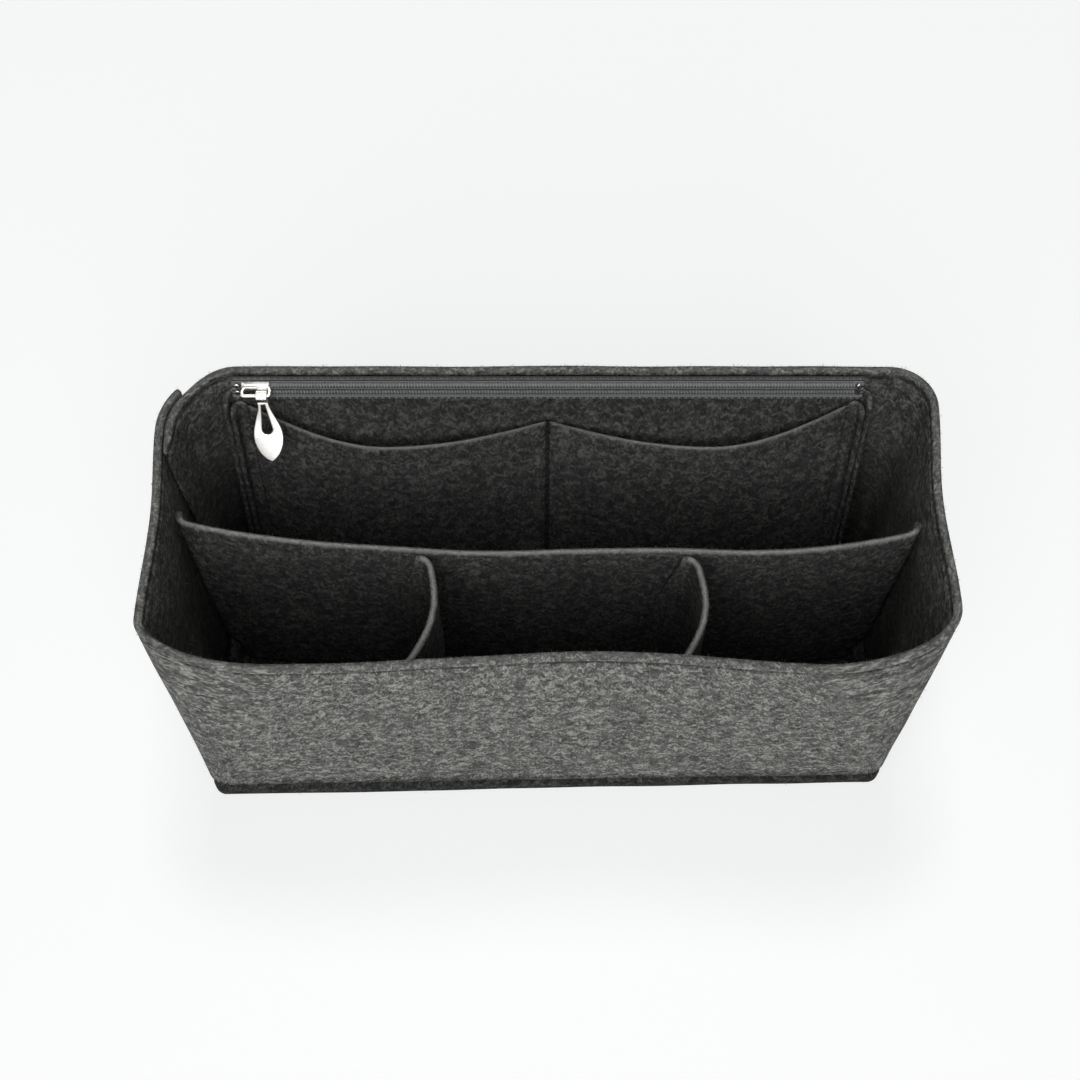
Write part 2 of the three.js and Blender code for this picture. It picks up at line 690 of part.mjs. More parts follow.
// The puller hangs from its eye, whose centre is its own origin.
function pullerPlate() {
  const top = -(boreRadius + EYE_WALL / 2);
  const widest = PULL_TIP - PULL_LENGTH;
  const shoulder = lerp(top, widest, PULL_HANDLE);
  const swell = lerp(widest, top, PULL_HANDLE);
  const bulge = widest - TIP_HANDLE * PULL_TIP;
  const taper = TIP_POINT * PULL_TIP - PULL_LENGTH;
  const neckHalf = EYE_WIDTH / 2;
  const plateHalf = PULL_WIDTH / 2;
  const taperHalf = TIP_POINT * PULL_WIDTH;
  const outline = new THREE.Shape();
  outline.moveTo(-neckHalf, top);
  outline.lineTo(neckHalf, top);
  outline.bezierCurveTo(neckHalf, shoulder, plateHalf, swell, plateHalf, widest);
  outline.bezierCurveTo(plateHalf, bulge, taperHalf, taper, 0, -PULL_LENGTH);
  outline.bezierCurveTo(-taperHalf, taper, -plateHalf, bulge, -plateHalf, widest);
  outline.bezierCurveTo(-plateHalf, swell, -neckHalf, shoulder, -neckHalf, top);
  const slotTop = -(eyeRadius + PULL_SLOT_DROP);
  const slotRound = slotTop - PULL_SLOT_LENGTH + PULL_SLOT_WIDTH / 2;
  const slot = new THREE.Path();
  slot.moveTo(PULL_SLOT_NECK / 2, slotTop);
  slot.lineTo(-PULL_SLOT_NECK / 2, slotTop);
  slot.lineTo(-PULL_SLOT_WIDTH / 2, slotRound);
  slot.absarc(0, slotRound, PULL_SLOT_WIDTH / 2, Math.PI, 2 * Math.PI);
  outline.holes.push(slot);
  return extrude(outline, PULL_THICKNESS, ALONG, UP);
}

function pullerEye() {
  const outline = new THREE.Shape().absarc(0, 0, eyeRadius, 0, 2 * Math.PI);
  outline.holes.push(new THREE.Path().absarc(0, 0, boreRadius, 0, 2 * Math.PI, true));
  return extrude(outline, EYE_WIDTH, UP, OUT);
}

// Felt pieces
addPiece(organizer, 'outer_band', outerBand(), wallFelt);
addPiece(organizer, 'base_panel', basePanel(), wallFelt);
addPiece(organizer, 'long_divider', longDivider(), liningFelt);
addPiece(organizer, 'left_cross_divider', crossDivider(CROSS_LEFT), liningFelt);
addPiece(organizer, 'right_cross_divider', crossDivider(CROSS_RIGHT), liningFelt);
addPiece(organizer, 'zip_pocket_panel', zipPocketPanel(), liningFelt);
addPiece(organizer, 'slip_pocket_panel', slipPocketPanel(), liningFelt);

// Zip, closed: the slider rests against the two closing stops at the left.
addPiece(zip, 'zip_upper_tape', tape(1, upperEdge), tapeCloth);
addPiece(zip, 'zip_lower_tape', tape(-1, lowerEdge), tapeCloth);
addPiece(zip, 'zip_upper_coil', coil(1), coilNylon);
addPiece(zip, 'zip_lower_coil', coil(-1), coilNylon);
addPiece(zip, 'zip_upper_closing_stop', stop(-1, halfSlot, coilEdge), platedMetal);
addPiece(zip, 'zip_lower_closing_stop', stop(-1, -coilEdge, -halfSlot), platedMetal);
addPiece(zip, 'zip_opening_stop', stop(1, -coilEdge, coilEdge), platedMetal);
const sliderX = (SLIDER_LENGTH - chainLength) / 2;
const slider = addPiece(zip, 'zip_slider', joined(sliderBody(), bridge()), platedMetal);
slider.position.setX(sliderX);
const puller = addPiece(zip, 'zip_puller', joined(pullerPlate(), pullerEye()), platedMetal);
puller.position.set(sliderX, -pivotOut, 0);
puller.rotation.x = -PULL_REST;

// Seams
addPiece(organizer, 'rim_seam_thread', levelSeam(HEIGHT - RIM_SEAM_DROP, 1, wallEnd), sewingThread);
addPiece(organizer, 'hem_seam_thread', levelSeam(hemSeam, 1, wallEnd), sewingThread);
const lapStation = STRETCHES + lapShare / 2;
const lapDirection = outlineDirection(lapStation, HEIGHT);
addPiece(organizer, 'lap_seam_thread', uprightSeam(
  flangeTop,
  HEIGHT - RIM_SEAM_DROP - SEAM_END_MARGIN,
  (z) => wallPoint(lapStation, z, -threadLift),
  new THREE.Vector3(lapDirection.x, lapDirection.y, 0),
), sewingThread);
[['left', mirrored], ['right', (point) => point]].forEach(([name, place]) => {
  const seamAt = (z) => place(wallAt('right', DIVIDER_END_Y + DIVIDER_TAB / 2, z, -threadLift));
  const across = place(new THREE.Vector3(0, 1, 0));
  addPiece(organizer, `${name}_divider_seam_thread`, uprightSeam(
    flangeTop,
    dividerTop - SEAM_END_MARGIN,
    seamAt,
    across,
  ), sewingThread);
});
[['left', CROSS_LEFT], ['right', CROSS_RIGHT]].forEach(([name, { rear, front }]) => {
  const lift = DIVIDER_FELT + threadLift;
  const middle = (CROSS_TAB + DIVIDER_FOLD) / 2;
  const rearAt = (z) => crossRearTab(rear - middle, z, lift);
  const frontAt = (z) => crossFrontTab(front - middle, z, lift);
  const seam = (centreAt) => uprightSeam(stepTop, dividerTop - SEAM_END_MARGIN, centreAt, ALONG);
  addPiece(organizer, `${name}_cross_rear_seam_thread`, seam(rearAt), sewingThread);
  addPiece(organizer, `${name}_cross_front_seam_thread`, seam(frontAt), sewingThread);
});
const panelSeamX = slipStraight - PANEL_SEAM_MARGIN;
addPiece(organizer, 'left_panel_seam_thread', slipSeam(-panelSeamX), sewingThread);
addPiece(organizer, 'right_panel_seam_thread', slipSeam(panelSeamX), sewingThread);
addPiece(organizer, 'pocket_centre_seam_thread', slipSeam(0), sewingThread);
addPiece(zip, 'zip_upper_seam_thread', tapeSeam(1, upperEdge), sewingThread);
addPiece(zip, 'zip_lower_seam_thread', tapeSeam(-1, lowerEdge), sewingThread);

export default organizer;
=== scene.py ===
# %% [markdown]
# # A felt purse organizer
#
# This script dresses a finished construction model of a felt bag organizer. The model already has the
# right size and moving parts, so nothing here moves them. The camera and light come first. Then each bare
# solid gets a lifelike piece in the same place, made the way that felt, zip and thread are made.

# %% Load the model and remember its size
import json
import math

import bmesh
import bpy
import numpy as np
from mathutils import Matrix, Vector, noise


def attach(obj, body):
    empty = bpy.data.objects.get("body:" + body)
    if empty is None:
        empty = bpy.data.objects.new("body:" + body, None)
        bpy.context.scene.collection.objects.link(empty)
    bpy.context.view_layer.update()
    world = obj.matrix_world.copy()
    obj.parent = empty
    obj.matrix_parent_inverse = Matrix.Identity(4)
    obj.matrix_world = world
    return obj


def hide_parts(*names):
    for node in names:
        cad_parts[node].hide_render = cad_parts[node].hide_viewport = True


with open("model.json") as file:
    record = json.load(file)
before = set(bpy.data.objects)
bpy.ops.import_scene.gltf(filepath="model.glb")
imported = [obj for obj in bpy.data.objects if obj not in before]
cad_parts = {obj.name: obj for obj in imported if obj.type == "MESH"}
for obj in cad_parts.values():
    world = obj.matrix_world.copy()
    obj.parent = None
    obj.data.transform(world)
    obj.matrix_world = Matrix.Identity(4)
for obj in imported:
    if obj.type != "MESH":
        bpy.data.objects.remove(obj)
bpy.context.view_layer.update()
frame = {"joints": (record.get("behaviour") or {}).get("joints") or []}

MM = 0.001


def add_object(name, data):
    """A new object in the scene."""
    added = bpy.data.objects.new(name, data)
    bpy.context.scene.collection.objects.link(added)
    return added


# %% [markdown]
# ## Camera
#
# The photograph looks steeply down from the front. Its place and lens were worked out from the edges
# of the rim, divider and base, so the camera can simply be written down. It comes first, because every
# later piece is judged through it.

# %% Camera
CAMERA_PLACE = (-0.0028, -0.3210, 0.7180)
CAMERA_TURN = math.radians(28)
CAMERA_LENS, CAMERA_SENSOR = 63.5, 36

eye = add_object("camera", bpy.data.cameras.new("camera"))
eye.location = CAMERA_PLACE
eye.rotation_euler = (CAMERA_TURN, 0, 0)
eye.data.lens = CAMERA_LENS
eye.data.sensor_width = CAMERA_SENSOR
bpy.context.scene.camera = eye
bpy.context.scene.view_settings.view_transform = "Standard"
print("camera looks down", 90 - math.degrees(CAMERA_TURN), "degrees")

# %% [markdown]
# ## Light and floor
#
# The photograph has a white table and light from above and from the front: the front wall and the upper
# edges are bright, while the inside darkens quickly with depth. Three area lamps give that: one high up
# behind, one high in front, whose light enters the pockets, and a low one for the front wall. The world
# adds a little fill, and shows as plain white to the camera and to polished metal. A picture of a studio
# could light the scene too, but lamps can be set one at a time. The table partly glows for the camera, so
# that it looks white and still takes the shadow.


# %% Helpers for node trees
def linear(hex_colour):
    """An sRGB hex colour as linear red, green, blue and alpha."""
    shares = [int(hex_colour[i:i + 2], 16) / 255 for i in (1, 3, 5)]
    return (*[s / 12.92 if s <= 0.04045 else ((s + 0.055) / 1.055) ** 2.4 for s in shares], 1.0)


def add_node(tree, kind, inputs=None, **settings):
    """Adds a node, with its settings, and each input either linked to a socket or set to a value."""
    node = tree.nodes.new(kind)
    for name, value in settings.items():
        setattr(node, name, value)
    for key, value in (inputs or {}).items():
        if isinstance(value, bpy.types.NodeSocket):
            tree.links.new(value, node.inputs[key])
        else:
            node.inputs[key].default_value = value
    return node


def gathered(tree, sockets, operation):
    """One value from several, taken two at a time."""
    total = sockets[0]
    for socket in sockets[1:]:
        total = add_node(tree, "ShaderNodeMath", {0: total, 1: socket}, operation=operation).outputs[0]
    return total


def new_material(name):
    """An empty material and its node tree."""
    material = bpy.data.materials.new(name)
    material.use_nodes = True
    material.node_tree.nodes.clear()
    return material, material.node_tree


# %% World, lamps and floor
WORLD_FILL = 0.03
# Each lamp's place and target, its width and height, and its watts.
LAMPS = {
    "rear_light": ((-0.02, 0.7, 2.5), (0, 0, 0), (0.6, 0.6), 18),
    "key_light": ((-0.1, -1.05, 1.25), (0, 0, 0.1), (1.3, 1.3), 12.5),
    "front_light": ((-0.1, -1.4, 0.1), (0, 0, 0.06), (1.2, 0.16), 7),
}
TABLE_COLOUR = "#fcfdfd"
TABLE_GLOW, TABLE_STRENGTH, TABLE_HALF = 0.6, 1.22, 6.0

world = bpy.data.worlds.new("studio")
bpy.context.scene.world = world
world.use_nodes = True
sky = world.node_tree
sky.nodes.clear()
ray = add_node(sky, "ShaderNodeLightPath").outputs
seen = gathered(sky, [ray[f"Is {kind} Ray"] for kind in ("Camera", "Glossy", "Transmission")], "MAXIMUM")
fill = add_node(sky, "ShaderNodeBackground", {"Color": linear("#ffffff"), "Strength": WORLD_FILL})
white = add_node(sky, "ShaderNodeBackground", {"Color": linear("#ffffff"), "Strength": 1.0})
sky_mix = add_node(sky, "ShaderNodeMixShader", {0: seen, 1: fill.outputs[0], 2: white.outputs[0]})
add_node(sky, "ShaderNodeOutputWorld", {"Surface": sky_mix.outputs[0]})

for name, (place, target, size, watts) in LAMPS.items():
    lamp = bpy.data.lights.new(name, "AREA")
    lamp.shape = "RECTANGLE"
    lamp.size, lamp.size_y = size
    lamp.energy = watts
    holder = add_object(name, lamp)
    holder.location = place
    holder.rotation_euler = (Vector(target) - Vector(place)).to_track_quat("-Z", "Y").to_euler()

# Matt white card has hardly any shine, so only the shadow shows on it.
table_white, tree = new_material("white_card_table")
card = add_node(tree, "ShaderNodeBsdfPrincipled", {
    "Base Color": linear(TABLE_COLOUR), "Roughness": 0.9, "Specular IOR Level": 0.1,
})
lit = add_node(tree, "ShaderNodeEmission", {"Color": linear(TABLE_COLOUR), "Strength": TABLE_STRENGTH})
seen = add_node(tree, "ShaderNodeLightPath").outputs["Is Camera Ray"]
share = add_node(tree, "ShaderNodeMath", {0: seen, 1: TABLE_GLOW}, operation="MULTIPLY")
card = add_node(tree, "ShaderNodeMixShader", {0: share.outputs[0], 1: card.outputs[0], 2: lit.outputs[0]})
add_node(tree, "ShaderNodeOutputMaterial", {"Surface": card.outputs[0]})
table_corners = [(x * TABLE_HALF, y * TABLE_HALF, 0) for x, y in ((-1, -1), (1, -1), (1, 1), (-1, 1))]
table_mesh = bpy.data.meshes.new("table")
table_mesh.from_pydata(table_corners, [], [(0, 1, 2, 3)])
table_mesh.materials.append(table_white)
table = add_object("table", table_mesh)
print(len(LAMPS), "lamps and a table are set up")

# %% [markdown]
# ## Felt
#
# The organizer is cut from heather grey felt: light and dark fibres, needled into a mat, lie in every
# direction. From arm's length that gives short curly strands, a fine speckle and faint clouds, and no
# shine. Noise that is stretched along four directions and bent by slower noise draws the strands, once for
# the light ones and once for the dark. The pattern lies on the flat cloth, so it bends with each piece. The
# upper cut edges are lighter, partly from their fibre ends and partly from a painted highlight. Painted
# shade darkens the hem at the foot and the grooves of the seams, and covers the wall's inner side with a
# darker, plainer grey below its upper part. A picture of felt could be laid on instead, but noise doesn't
# repeat, and every size in it can be set.

# %% Felt material
# Sizes of the pattern on the flat cloth, and its directions.
FIBRE_LENGTH, FIBRE_WIDTH, FIBRE_TURNS = 4.2 * MM, 1.05 * MM, (20, 65, 110, 155)
CURL, CURL_REACH = 2.6 * MM, 3.6 * MM
SPECKLE, CLOUD = 0.8 * MM, 9 * MM
GRAIN = (1, 0.42, 1)
FELT_RELIEF = 0.4 * MM
# The part of each noise that shows, and each pattern's share.
LIGHT_RANGE, DARK_RANGE, SPECKLE_RANGE = (0.53, 0.69), (0.31, 0.47), (0.3, 0.7)
DARK_STRANDS, SPECKLE_SHARE, CLOUD_SHARE = 0.45, 0.35, 0.15
# The wall's thickness and the heights of its seams, and where painted shade and highlight change the colour,
# in millimetres.
WALL = 3.0
HEM_SEAM, RIM_SEAM = 10.5, 131.5
HEM_SHADE, HEM_SHADE_RAGGED = (10.5, 2.0), 2.5
GROOVE, CENTRE_GROOVE = 0.9, (0.4, 1.3)
# Painted shade on the wall's inner side is full below the first height up the flat cloth and gone above the
# second.
INNER_SHADE_FADE = (85, 130)
# Grey of the cut edges' fibre ends and painted highlight, and grey of the inner side's painted shade.
CUT_FIBRE_AND_HIGHLIGHT_COLOUR, INNER_SHADE_COLOUR = "#a4a4a0", "#494948"


def felt_pattern(tree, flat):
    """Curly light and dark strands, speckle and clouds on the flat cloth, mixed into one value."""
    flat = add_node(tree, "ShaderNodeVectorMath", {0: flat, 1: GRAIN}, operation="MULTIPLY").outputs[0]
    curl = add_node(tree, "ShaderNodeTexNoise", {"Vector": flat, "Scale": 1 / CURL, "Detail": 1.0})
    curl = add_node(tree, "ShaderNodeVectorMath", {0: curl.outputs["Color"], 1: (0.5, 0.5, 0.5)},
                    operation="SUBTRACT")
    curl = add_node(tree, "ShaderNodeVectorMath", {0: curl.outputs[0], "Scale": CURL_REACH},
                    operation="SCALE")
    curly = add_node(tree, "ShaderNodeVectorMath", {0: flat, 1: curl.outputs[0]}, operation="ADD").outputs[0]
    strands = []
    for degrees in FIBRE_TURNS:
        lay = add_node(tree, "ShaderNodeMapping", {
            "Vector": curly, "Rotation": (0, 0, math.radians(degrees)), "Location": (degrees, degrees / 7, 0),
            "Scale": (1 / FIBRE_LENGTH, 1 / FIBRE_WIDTH, 1 / FIBRE_WIDTH),
        })
        strands.append(add_node(tree, "ShaderNodeTexNoise", {
            "Vector": lay.outputs[0], "Scale": 1.0, "Detail": 2.0, "Roughness": 0.5,
        }).outputs[0])
    both = [
        add_node(tree, "ShaderNodeMapRange", {
            "Value": gathered(tree, strands, operation), "From Min": low, "From Max": high,
        }).outputs[0]
        for operation, (low, high) in (("MAXIMUM", LIGHT_RANGE), ("MINIMUM", DARK_RANGE))
    ]
    strands = add_node(tree, "ShaderNodeMix", {0: DARK_STRANDS, 2: both[0], 3: both[1]}).outputs[0]
    speckle = add_node(tree, "ShaderNodeTexNoise", {"Vector": flat, "Scale": 1 / SPECKLE, "Detail": 2.0})
    speckle = add_node(tree, "ShaderNodeMapRange", {
        "Value": speckle.outputs[0], "From Min": SPECKLE_RANGE[0], "From Max": SPECKLE_RANGE[1],
    }).outputs[0]
    cloud = add_node(tree, "ShaderNodeTexNoise", {"Vector": flat, "Scale": 1 / CLOUD, "Detail": 2.0})
    mixed = add_node(tree, "ShaderNodeMix", {0: SPECKLE_SHARE, 2: strands, 3: speckle}).outputs[0]
    return add_node(tree, "ShaderNodeMix", {0: CLOUD_SHARE, 2: mixed, 3: cloud.outputs[0]}).outputs[0]


def painted_inner_shade(tree, flat, inner_shade_share):
    """How much painted shade, as a darker plain grey, covers the felt: only on the wall's inner side, and
    more so further down.
    """
    place = add_node(tree, "ShaderNodeSeparateXYZ", {0: flat}).outputs
    inner = add_node(tree, "ShaderNodeMapRange", {
        "Value": place["Z"], "From Max": WALL / 2 * MM, "To Max": inner_shade_share,
    }).outputs[0]
    deep = add_node(tree, "ShaderNodeMapRange", {
        "Value": place["Y"], "From Min": INNER_SHADE_FADE[0] * MM, "From Max": INNER_SHADE_FADE[1] * MM,
        "To Min": 1.0, "To Max": 0.0,
    }).outputs[0]
    return gathered(tree, [inner, deep], "MULTIPLY")


def seam_shade(tree, pattern, hem_shade_share, groove_shade_share, centre_shade_share):
    """How much colour is left under painted shade: below the hem seam, in the rim seam's groove and in a
    centre seam's.
    """
    place = add_node(tree, "ShaderNodeTexCoord").outputs["Object"]
    place = add_node(tree, "ShaderNodeSeparateXYZ", {0: place}).outputs
    # Painted shade along a centre seam, where the stitches draw the felt into a valley.
    aside = add_node(tree, "ShaderNodeMath", {0: place["X"]}, operation="ABSOLUTE").outputs[0]
    centre = add_node(tree, "ShaderNodeMapRange", {
        "Value": aside, "From Min": CENTRE_GROOVE[0] * MM, "From Max": CENTRE_GROOVE[1] * MM,
        "To Min": centre_shade_share,
    }).outputs[0]
    # Painted shade in the rim seam's groove.
    groove = add_node(tree, "ShaderNodeMath", {0: place["Z"], 1: RIM_SEAM * MM, 2: GROOVE * MM},
                      operation="COMPARE")
    groove = add_node(tree, "ShaderNodeMapRange", {
        "Value": groove.outputs[0], "To Min": 1.0, "To Max": groove_shade_share,
    }).outputs[0]
    # Painted shade below the hem seam, with a ragged upper edge from the felt pattern.
    height = add_node(tree, "ShaderNodeMath", {0: pattern, 1: HEM_SHADE_RAGGED * MM, 2: place["Z"]},
                      operation="MULTIPLY_ADD").outputs[0]
    below = add_node(tree, "ShaderNodeMapRange", {
        "Value": height, "From Min": (HEM_SEAM + HEM_SHADE[0]) * MM,
        "From Max": (HEM_SEAM + HEM_SHADE[1]) * MM, "To Min": 1.0, "To Max": hem_shade_share,
    }).outputs[0]
    return gathered(tree, [below, groove, centre], "MULTIPLY")


def felt_material(name, dark, middle, light, cut_fibre_and_highlight_share, hem_shade_share=1.0, groove_shade_share=1.0, centre_shade_share=1.0,
                  inner_shade_share=0.0):
    """Heather felt from three fibre colours. cut_fibre_and_highlight_share is how much lighter the upper cut
    edges are, from fibre ends and a painted highlight.
    """
    material, tree = new_material(name)
    flat = add_node(tree, "ShaderNodeAttribute", attribute_name="flat").outputs["Vector"]
    pattern = felt_pattern(tree, flat)
    ramp = add_node(tree, "ShaderNodeValToRGB", {0: pattern})
    ramp.color_ramp.elements[0].position = 0.05
    ramp.color_ramp.elements[0].color = linear(dark)
    ramp.color_ramp.elements[1].position = 0.95
    ramp.color_ramp.elements[1].color = linear(light)
    ramp.color_ramp.elements.new(0.5).color = linear(middle)
    # Painted shade: the wall's inner side is mixed towards a darker, plain grey.
    plain = painted_inner_shade(tree, flat, inner_shade_share)
    colour = add_node(tree, "ShaderNodeMix", {0: plain, 6: ramp.outputs[0], 7: linear(INNER_SHADE_COLOUR)},
                      data_type="RGBA").outputs[2]
    # Painted highlight, with lighter fibre ends: the upper cut edges are screened towards a lighter grey.
    cut = add_node(tree, "ShaderNodeAttribute", attribute_name="cut").outputs["Fac"]
    cut = add_node(tree, "ShaderNodeMath", {0: cut, 1: cut_fibre_and_highlight_share}, operation="MULTIPLY").outputs[0]
    colour = add_node(tree, "ShaderNodeMix", {0: cut, 6: colour, 7: linear(CUT_FIBRE_AND_HIGHLIGHT_COLOUR)}, data_type="RGBA",
                      blend_type="SCREEN")
    shade = seam_shade(tree, pattern, hem_shade_share, groove_shade_share, centre_shade_share)
    shade = add_node(tree, "ShaderNodeVectorMath", {0: colour.outputs[2], 1: shade}, operation="MULTIPLY")
    bump = add_node(tree, "ShaderNodeBump", {"Height": pattern, "Distance": FELT_RELIEF, "Strength": 0.35})
    surface = add_node(tree, "ShaderNodeBsdfPrincipled", {
        "Base Color": shade.outputs[0], "Roughness": 1.0, "Specular IOR Level": 0.06,
        "Normal": bump.outputs[0],
    })
    add_node(tree, "ShaderNodeOutputMaterial", {"Surface": surface.outputs[0]})
    return material


# The lining's colours are the wall felt's made darker: painted shade for the dim inside.
WALL_FELT_COLOURS = ("#262625", "#666664", "#adada7")
SHADED_LINING_COLOURS = ("#2a2a2a", "#535352", "#8a8a87")
wall_felt = felt_material("needled_grey_felt_wall", *WALL_FELT_COLOURS, cut_fibre_and_highlight_share=0.15, hem_shade_share=0.24,
                          groove_shade_share=0.6, inner_shade_share=0.6)
lining_felt = felt_material("needled_grey_felt_lining_painted_shade", *SHADED_LINING_COLOURS, cut_fibre_and_highlight_share=0.7)
# The slip panel also gets painted shade along its centre seam.
shaded_slip_felt = felt_material("needled_grey_felt_slip_pocket_painted_shade", *SHADED_LINING_COLOURS, cut_fibre_and_highlight_share=0.7,
                          centre_shade_share=0.3)
print("felt colours:", WALL_FELT_COLOURS, SHADED_LINING_COLOURS)

# %% [markdown]
# ## Felt pieces as thick sheets
#
# Every felt piece is a flat cut that is bent into place. Its middle surface is a grid of points, and the
# felt is that grid thickened to both sides. A line of points just inside each cut edge and a crown along
# the edge itself give the soft, slightly rounded edge that a knife leaves in felt. One vertex attribute
# keeps each point's place on the flat cloth for the material, and another marks the cut upper edges, for
# the fuzz and the material's painted highlight.
# Slow noise gives the slack that cloth always has. A Solidify modifier could thicken the grid too, but here
# the same few lines also press the felt thin along a seam and round its edge.

# %% Helpers for felt sheets
EDGE = 0.45
CROWN = 0.3
# The cut mark is weaker beside the crown, so the painted edge highlight stays a thin line.
RING_SHARE = 0.35


def lerp(a, b, share):
    return a + (b - a) * share


def smooth(value, low, high):
    share = min(max((value - low) / (high - low), 0.0), 1.0)
    return share * share * (3 - 2 * share)


def evenly(steps):
    return [step / steps for step in range(steps + 1)]


def with_edge_lines(grid, edge):
    """The grid with one more line just inside each of its four edges."""
    for axis in (0, 1):
        lines = np.swapaxes(grid, 0, axis)
        inner = []
        for outer, second in ((lines[0], lines[1]), (lines[-1], lines[-2])):
            step = second - outer
            length = np.maximum(np.linalg.norm(step, axis=1, keepdims=True), 1e-6)
            inner.append(outer + step * np.minimum(edge / length, 0.5))
        lines = np.concatenate([lines[:1], inner[:1], lines[1:-1], inner[1:], lines[-1:]])
        grid = np.swapaxes(lines, 0, axis)
    return grid


def sheet_normals(grid):
    """The direction across the sheet at each of its points."""
    normals = np.cross(np.gradient(grid, axis=1), np.gradient(grid, axis=0))
    return normals / np.maximum(np.linalg.norm(normals, axis=2, keepdims=True), 1e-9)


def slack(grid, depth, size, seed):
    """Slow waves, as depths along the sheet's normal, in millimetres."""
    points = grid.reshape(-1, 3) / size + seed * 17.3
    waves = [noise.noise(Vector(point)) for point in points]
    return depth * np.array(waves).reshape(grid.shape[:2])


def mesh_object(name, points, faces, material, flat, cut):
    """A closed, smooth-shaded mesh from points in millimetres, with its faces turned outward. flat is each
    point's place on the flat cloth, and cut marks its upper edge, for fuzz and a painted highlight."""
    mesh = bpy.data.meshes.new(name)
    mesh.from_pydata((np.asarray(points) * MM).tolist(), [], faces)
    mesh.attributes.new("flat", "FLOAT_VECTOR", "POINT").data.foreach_set("vector", (flat * MM).ravel())
    mesh.attributes.new("cut", "FLOAT", "POINT").data.foreach_set("value", cut)
    shell = bmesh.new()
    shell.from_mesh(mesh)
    bmesh.ops.recalc_face_normals(shell, faces=shell.faces)
    shell.to_mesh(mesh)
    shell.free()
    mesh.shade_smooth()
    mesh.materials.append(material)
    return add_object(name, mesh)


def sheet_faces(index, ring):
    """Faces of both sides of a sheet, and of the edge between them, whose crown's points come last."""
    total, count = index.size, len(ring)
    corners = np.stack([index[:-1, :-1], index[:-1, 1:], index[1:, 1:], index[1:, :-1]], axis=-1)
    corners = corners.reshape(-1, 4)
    faces = corners.tolist() + (corners[:, ::-1] + total).tolist()
    for here in range(count):
        after = (here + 1) % count
        top, top_after = int(ring[here]), int(ring[after])
        faces.append((top, top_after, 2 * total + after, 2 * total + here))
        faces.append((2 * total + here, 2 * total + after, top_after + total, top + total))
    return faces


def flat_places(grid, half):
    """Each point's place on the flat cloth, along and up it, and its height over the middle surface."""
    along = np.linalg.norm(np.diff(grid, axis=1, prepend=grid[:, :1]), axis=2).cumsum(axis=1)
    along = np.broadcast_to(along.mean(axis=0), along.shape)
    across = np.linalg.norm(np.diff(grid, axis=0, prepend=grid[:1]), axis=2).cumsum(axis=0)
    return np.stack([along, across, half], axis=-1).reshape(-1, 3)


def cloth_piece(name, rows, thickness, material, wave, edge=EDGE, crown=CROWN, pinch=None, tab_lines=0):
    """A sheet from rows of middle points, bottom to top. wave is its slack's depth, size and seed, and pinch
    thins it along seams. tab_lines is how many lines at each end are a sewn tab, whose top edge gets no cut
    mark, so no painted highlight and no extra fuzz."""
    grid = with_edge_lines(np.array(rows, float), edge)
    grid = grid + sheet_normals(grid) * slack(grid, *wave)[:, :, None]
    half = np.full(grid.shape[:2], thickness / 2)
    if pinch:
        half -= pinch(grid)
    half[[0, -1], :] -= edge
    half[1:-1, [0, -1]] -= edge
    offset = sheet_normals(grid) * half[:, :, None]
    height, width = grid.shape[:2]
    total = height * width
    index = np.arange(total).reshape(height, width)
    ring = np.concatenate([index[0, :-1], index[:-1, -1], index[-1, :0:-1], index[:0:-1, 0]])
    inside = np.clip(np.stack(np.divmod(ring, width)), 1, [[height - 2], [width - 2]])
    outward = grid.reshape(-1, 3)[ring] - grid[inside[0], inside[1]]
    outward /= np.maximum(np.linalg.norm(outward, axis=1, keepdims=True), 1e-9)
    crowns = grid.reshape(-1, 3)[ring] + outward * crown
    points = np.concatenate([(grid + offset).reshape(-1, 3), (grid - offset).reshape(-1, 3), crowns])
    flat = flat_places(grid, half)
    flat = np.concatenate([flat, flat * np.array([1, 1, -1]), flat[ring] * np.array([1, 1, 0])])
    # The upper cut edge is marked, except on tabs: for thicker fuzz, lighter fibre ends and painted
    # highlight.
    cut = np.zeros(len(points))
    from_end = np.minimum(ring % width, width - 1 - ring % width)
    upper = np.where((ring >= total - width) & (from_end >= tab_lines), 1.0, 0.0)
    cut[ring] = cut[ring + total] = RING_SHARE * upper
    cut[2 * total:] = upper
    return mesh_object(name, points, sheet_faces(index, ring), material, flat, cut)


# %% [markdown]
# ## The wall's outline
#
# One long strip makes the wall. Seen from above it is a rounded rectangle that grows from the foot to the
# rim, so one function gives the outline at any height. The outline is walked by stations: each even
# number starts a corner and each odd one a side, clockwise from the rear left corner. The slack front rim
# dips inward in the middle, and both sides are drawn in where the long divider is sewn to them. The four
# corners differ a little, as on a piece that was sewn by hand. An extruded curve would be quicker, but its
# corners would be the same at the foot as at the rim.

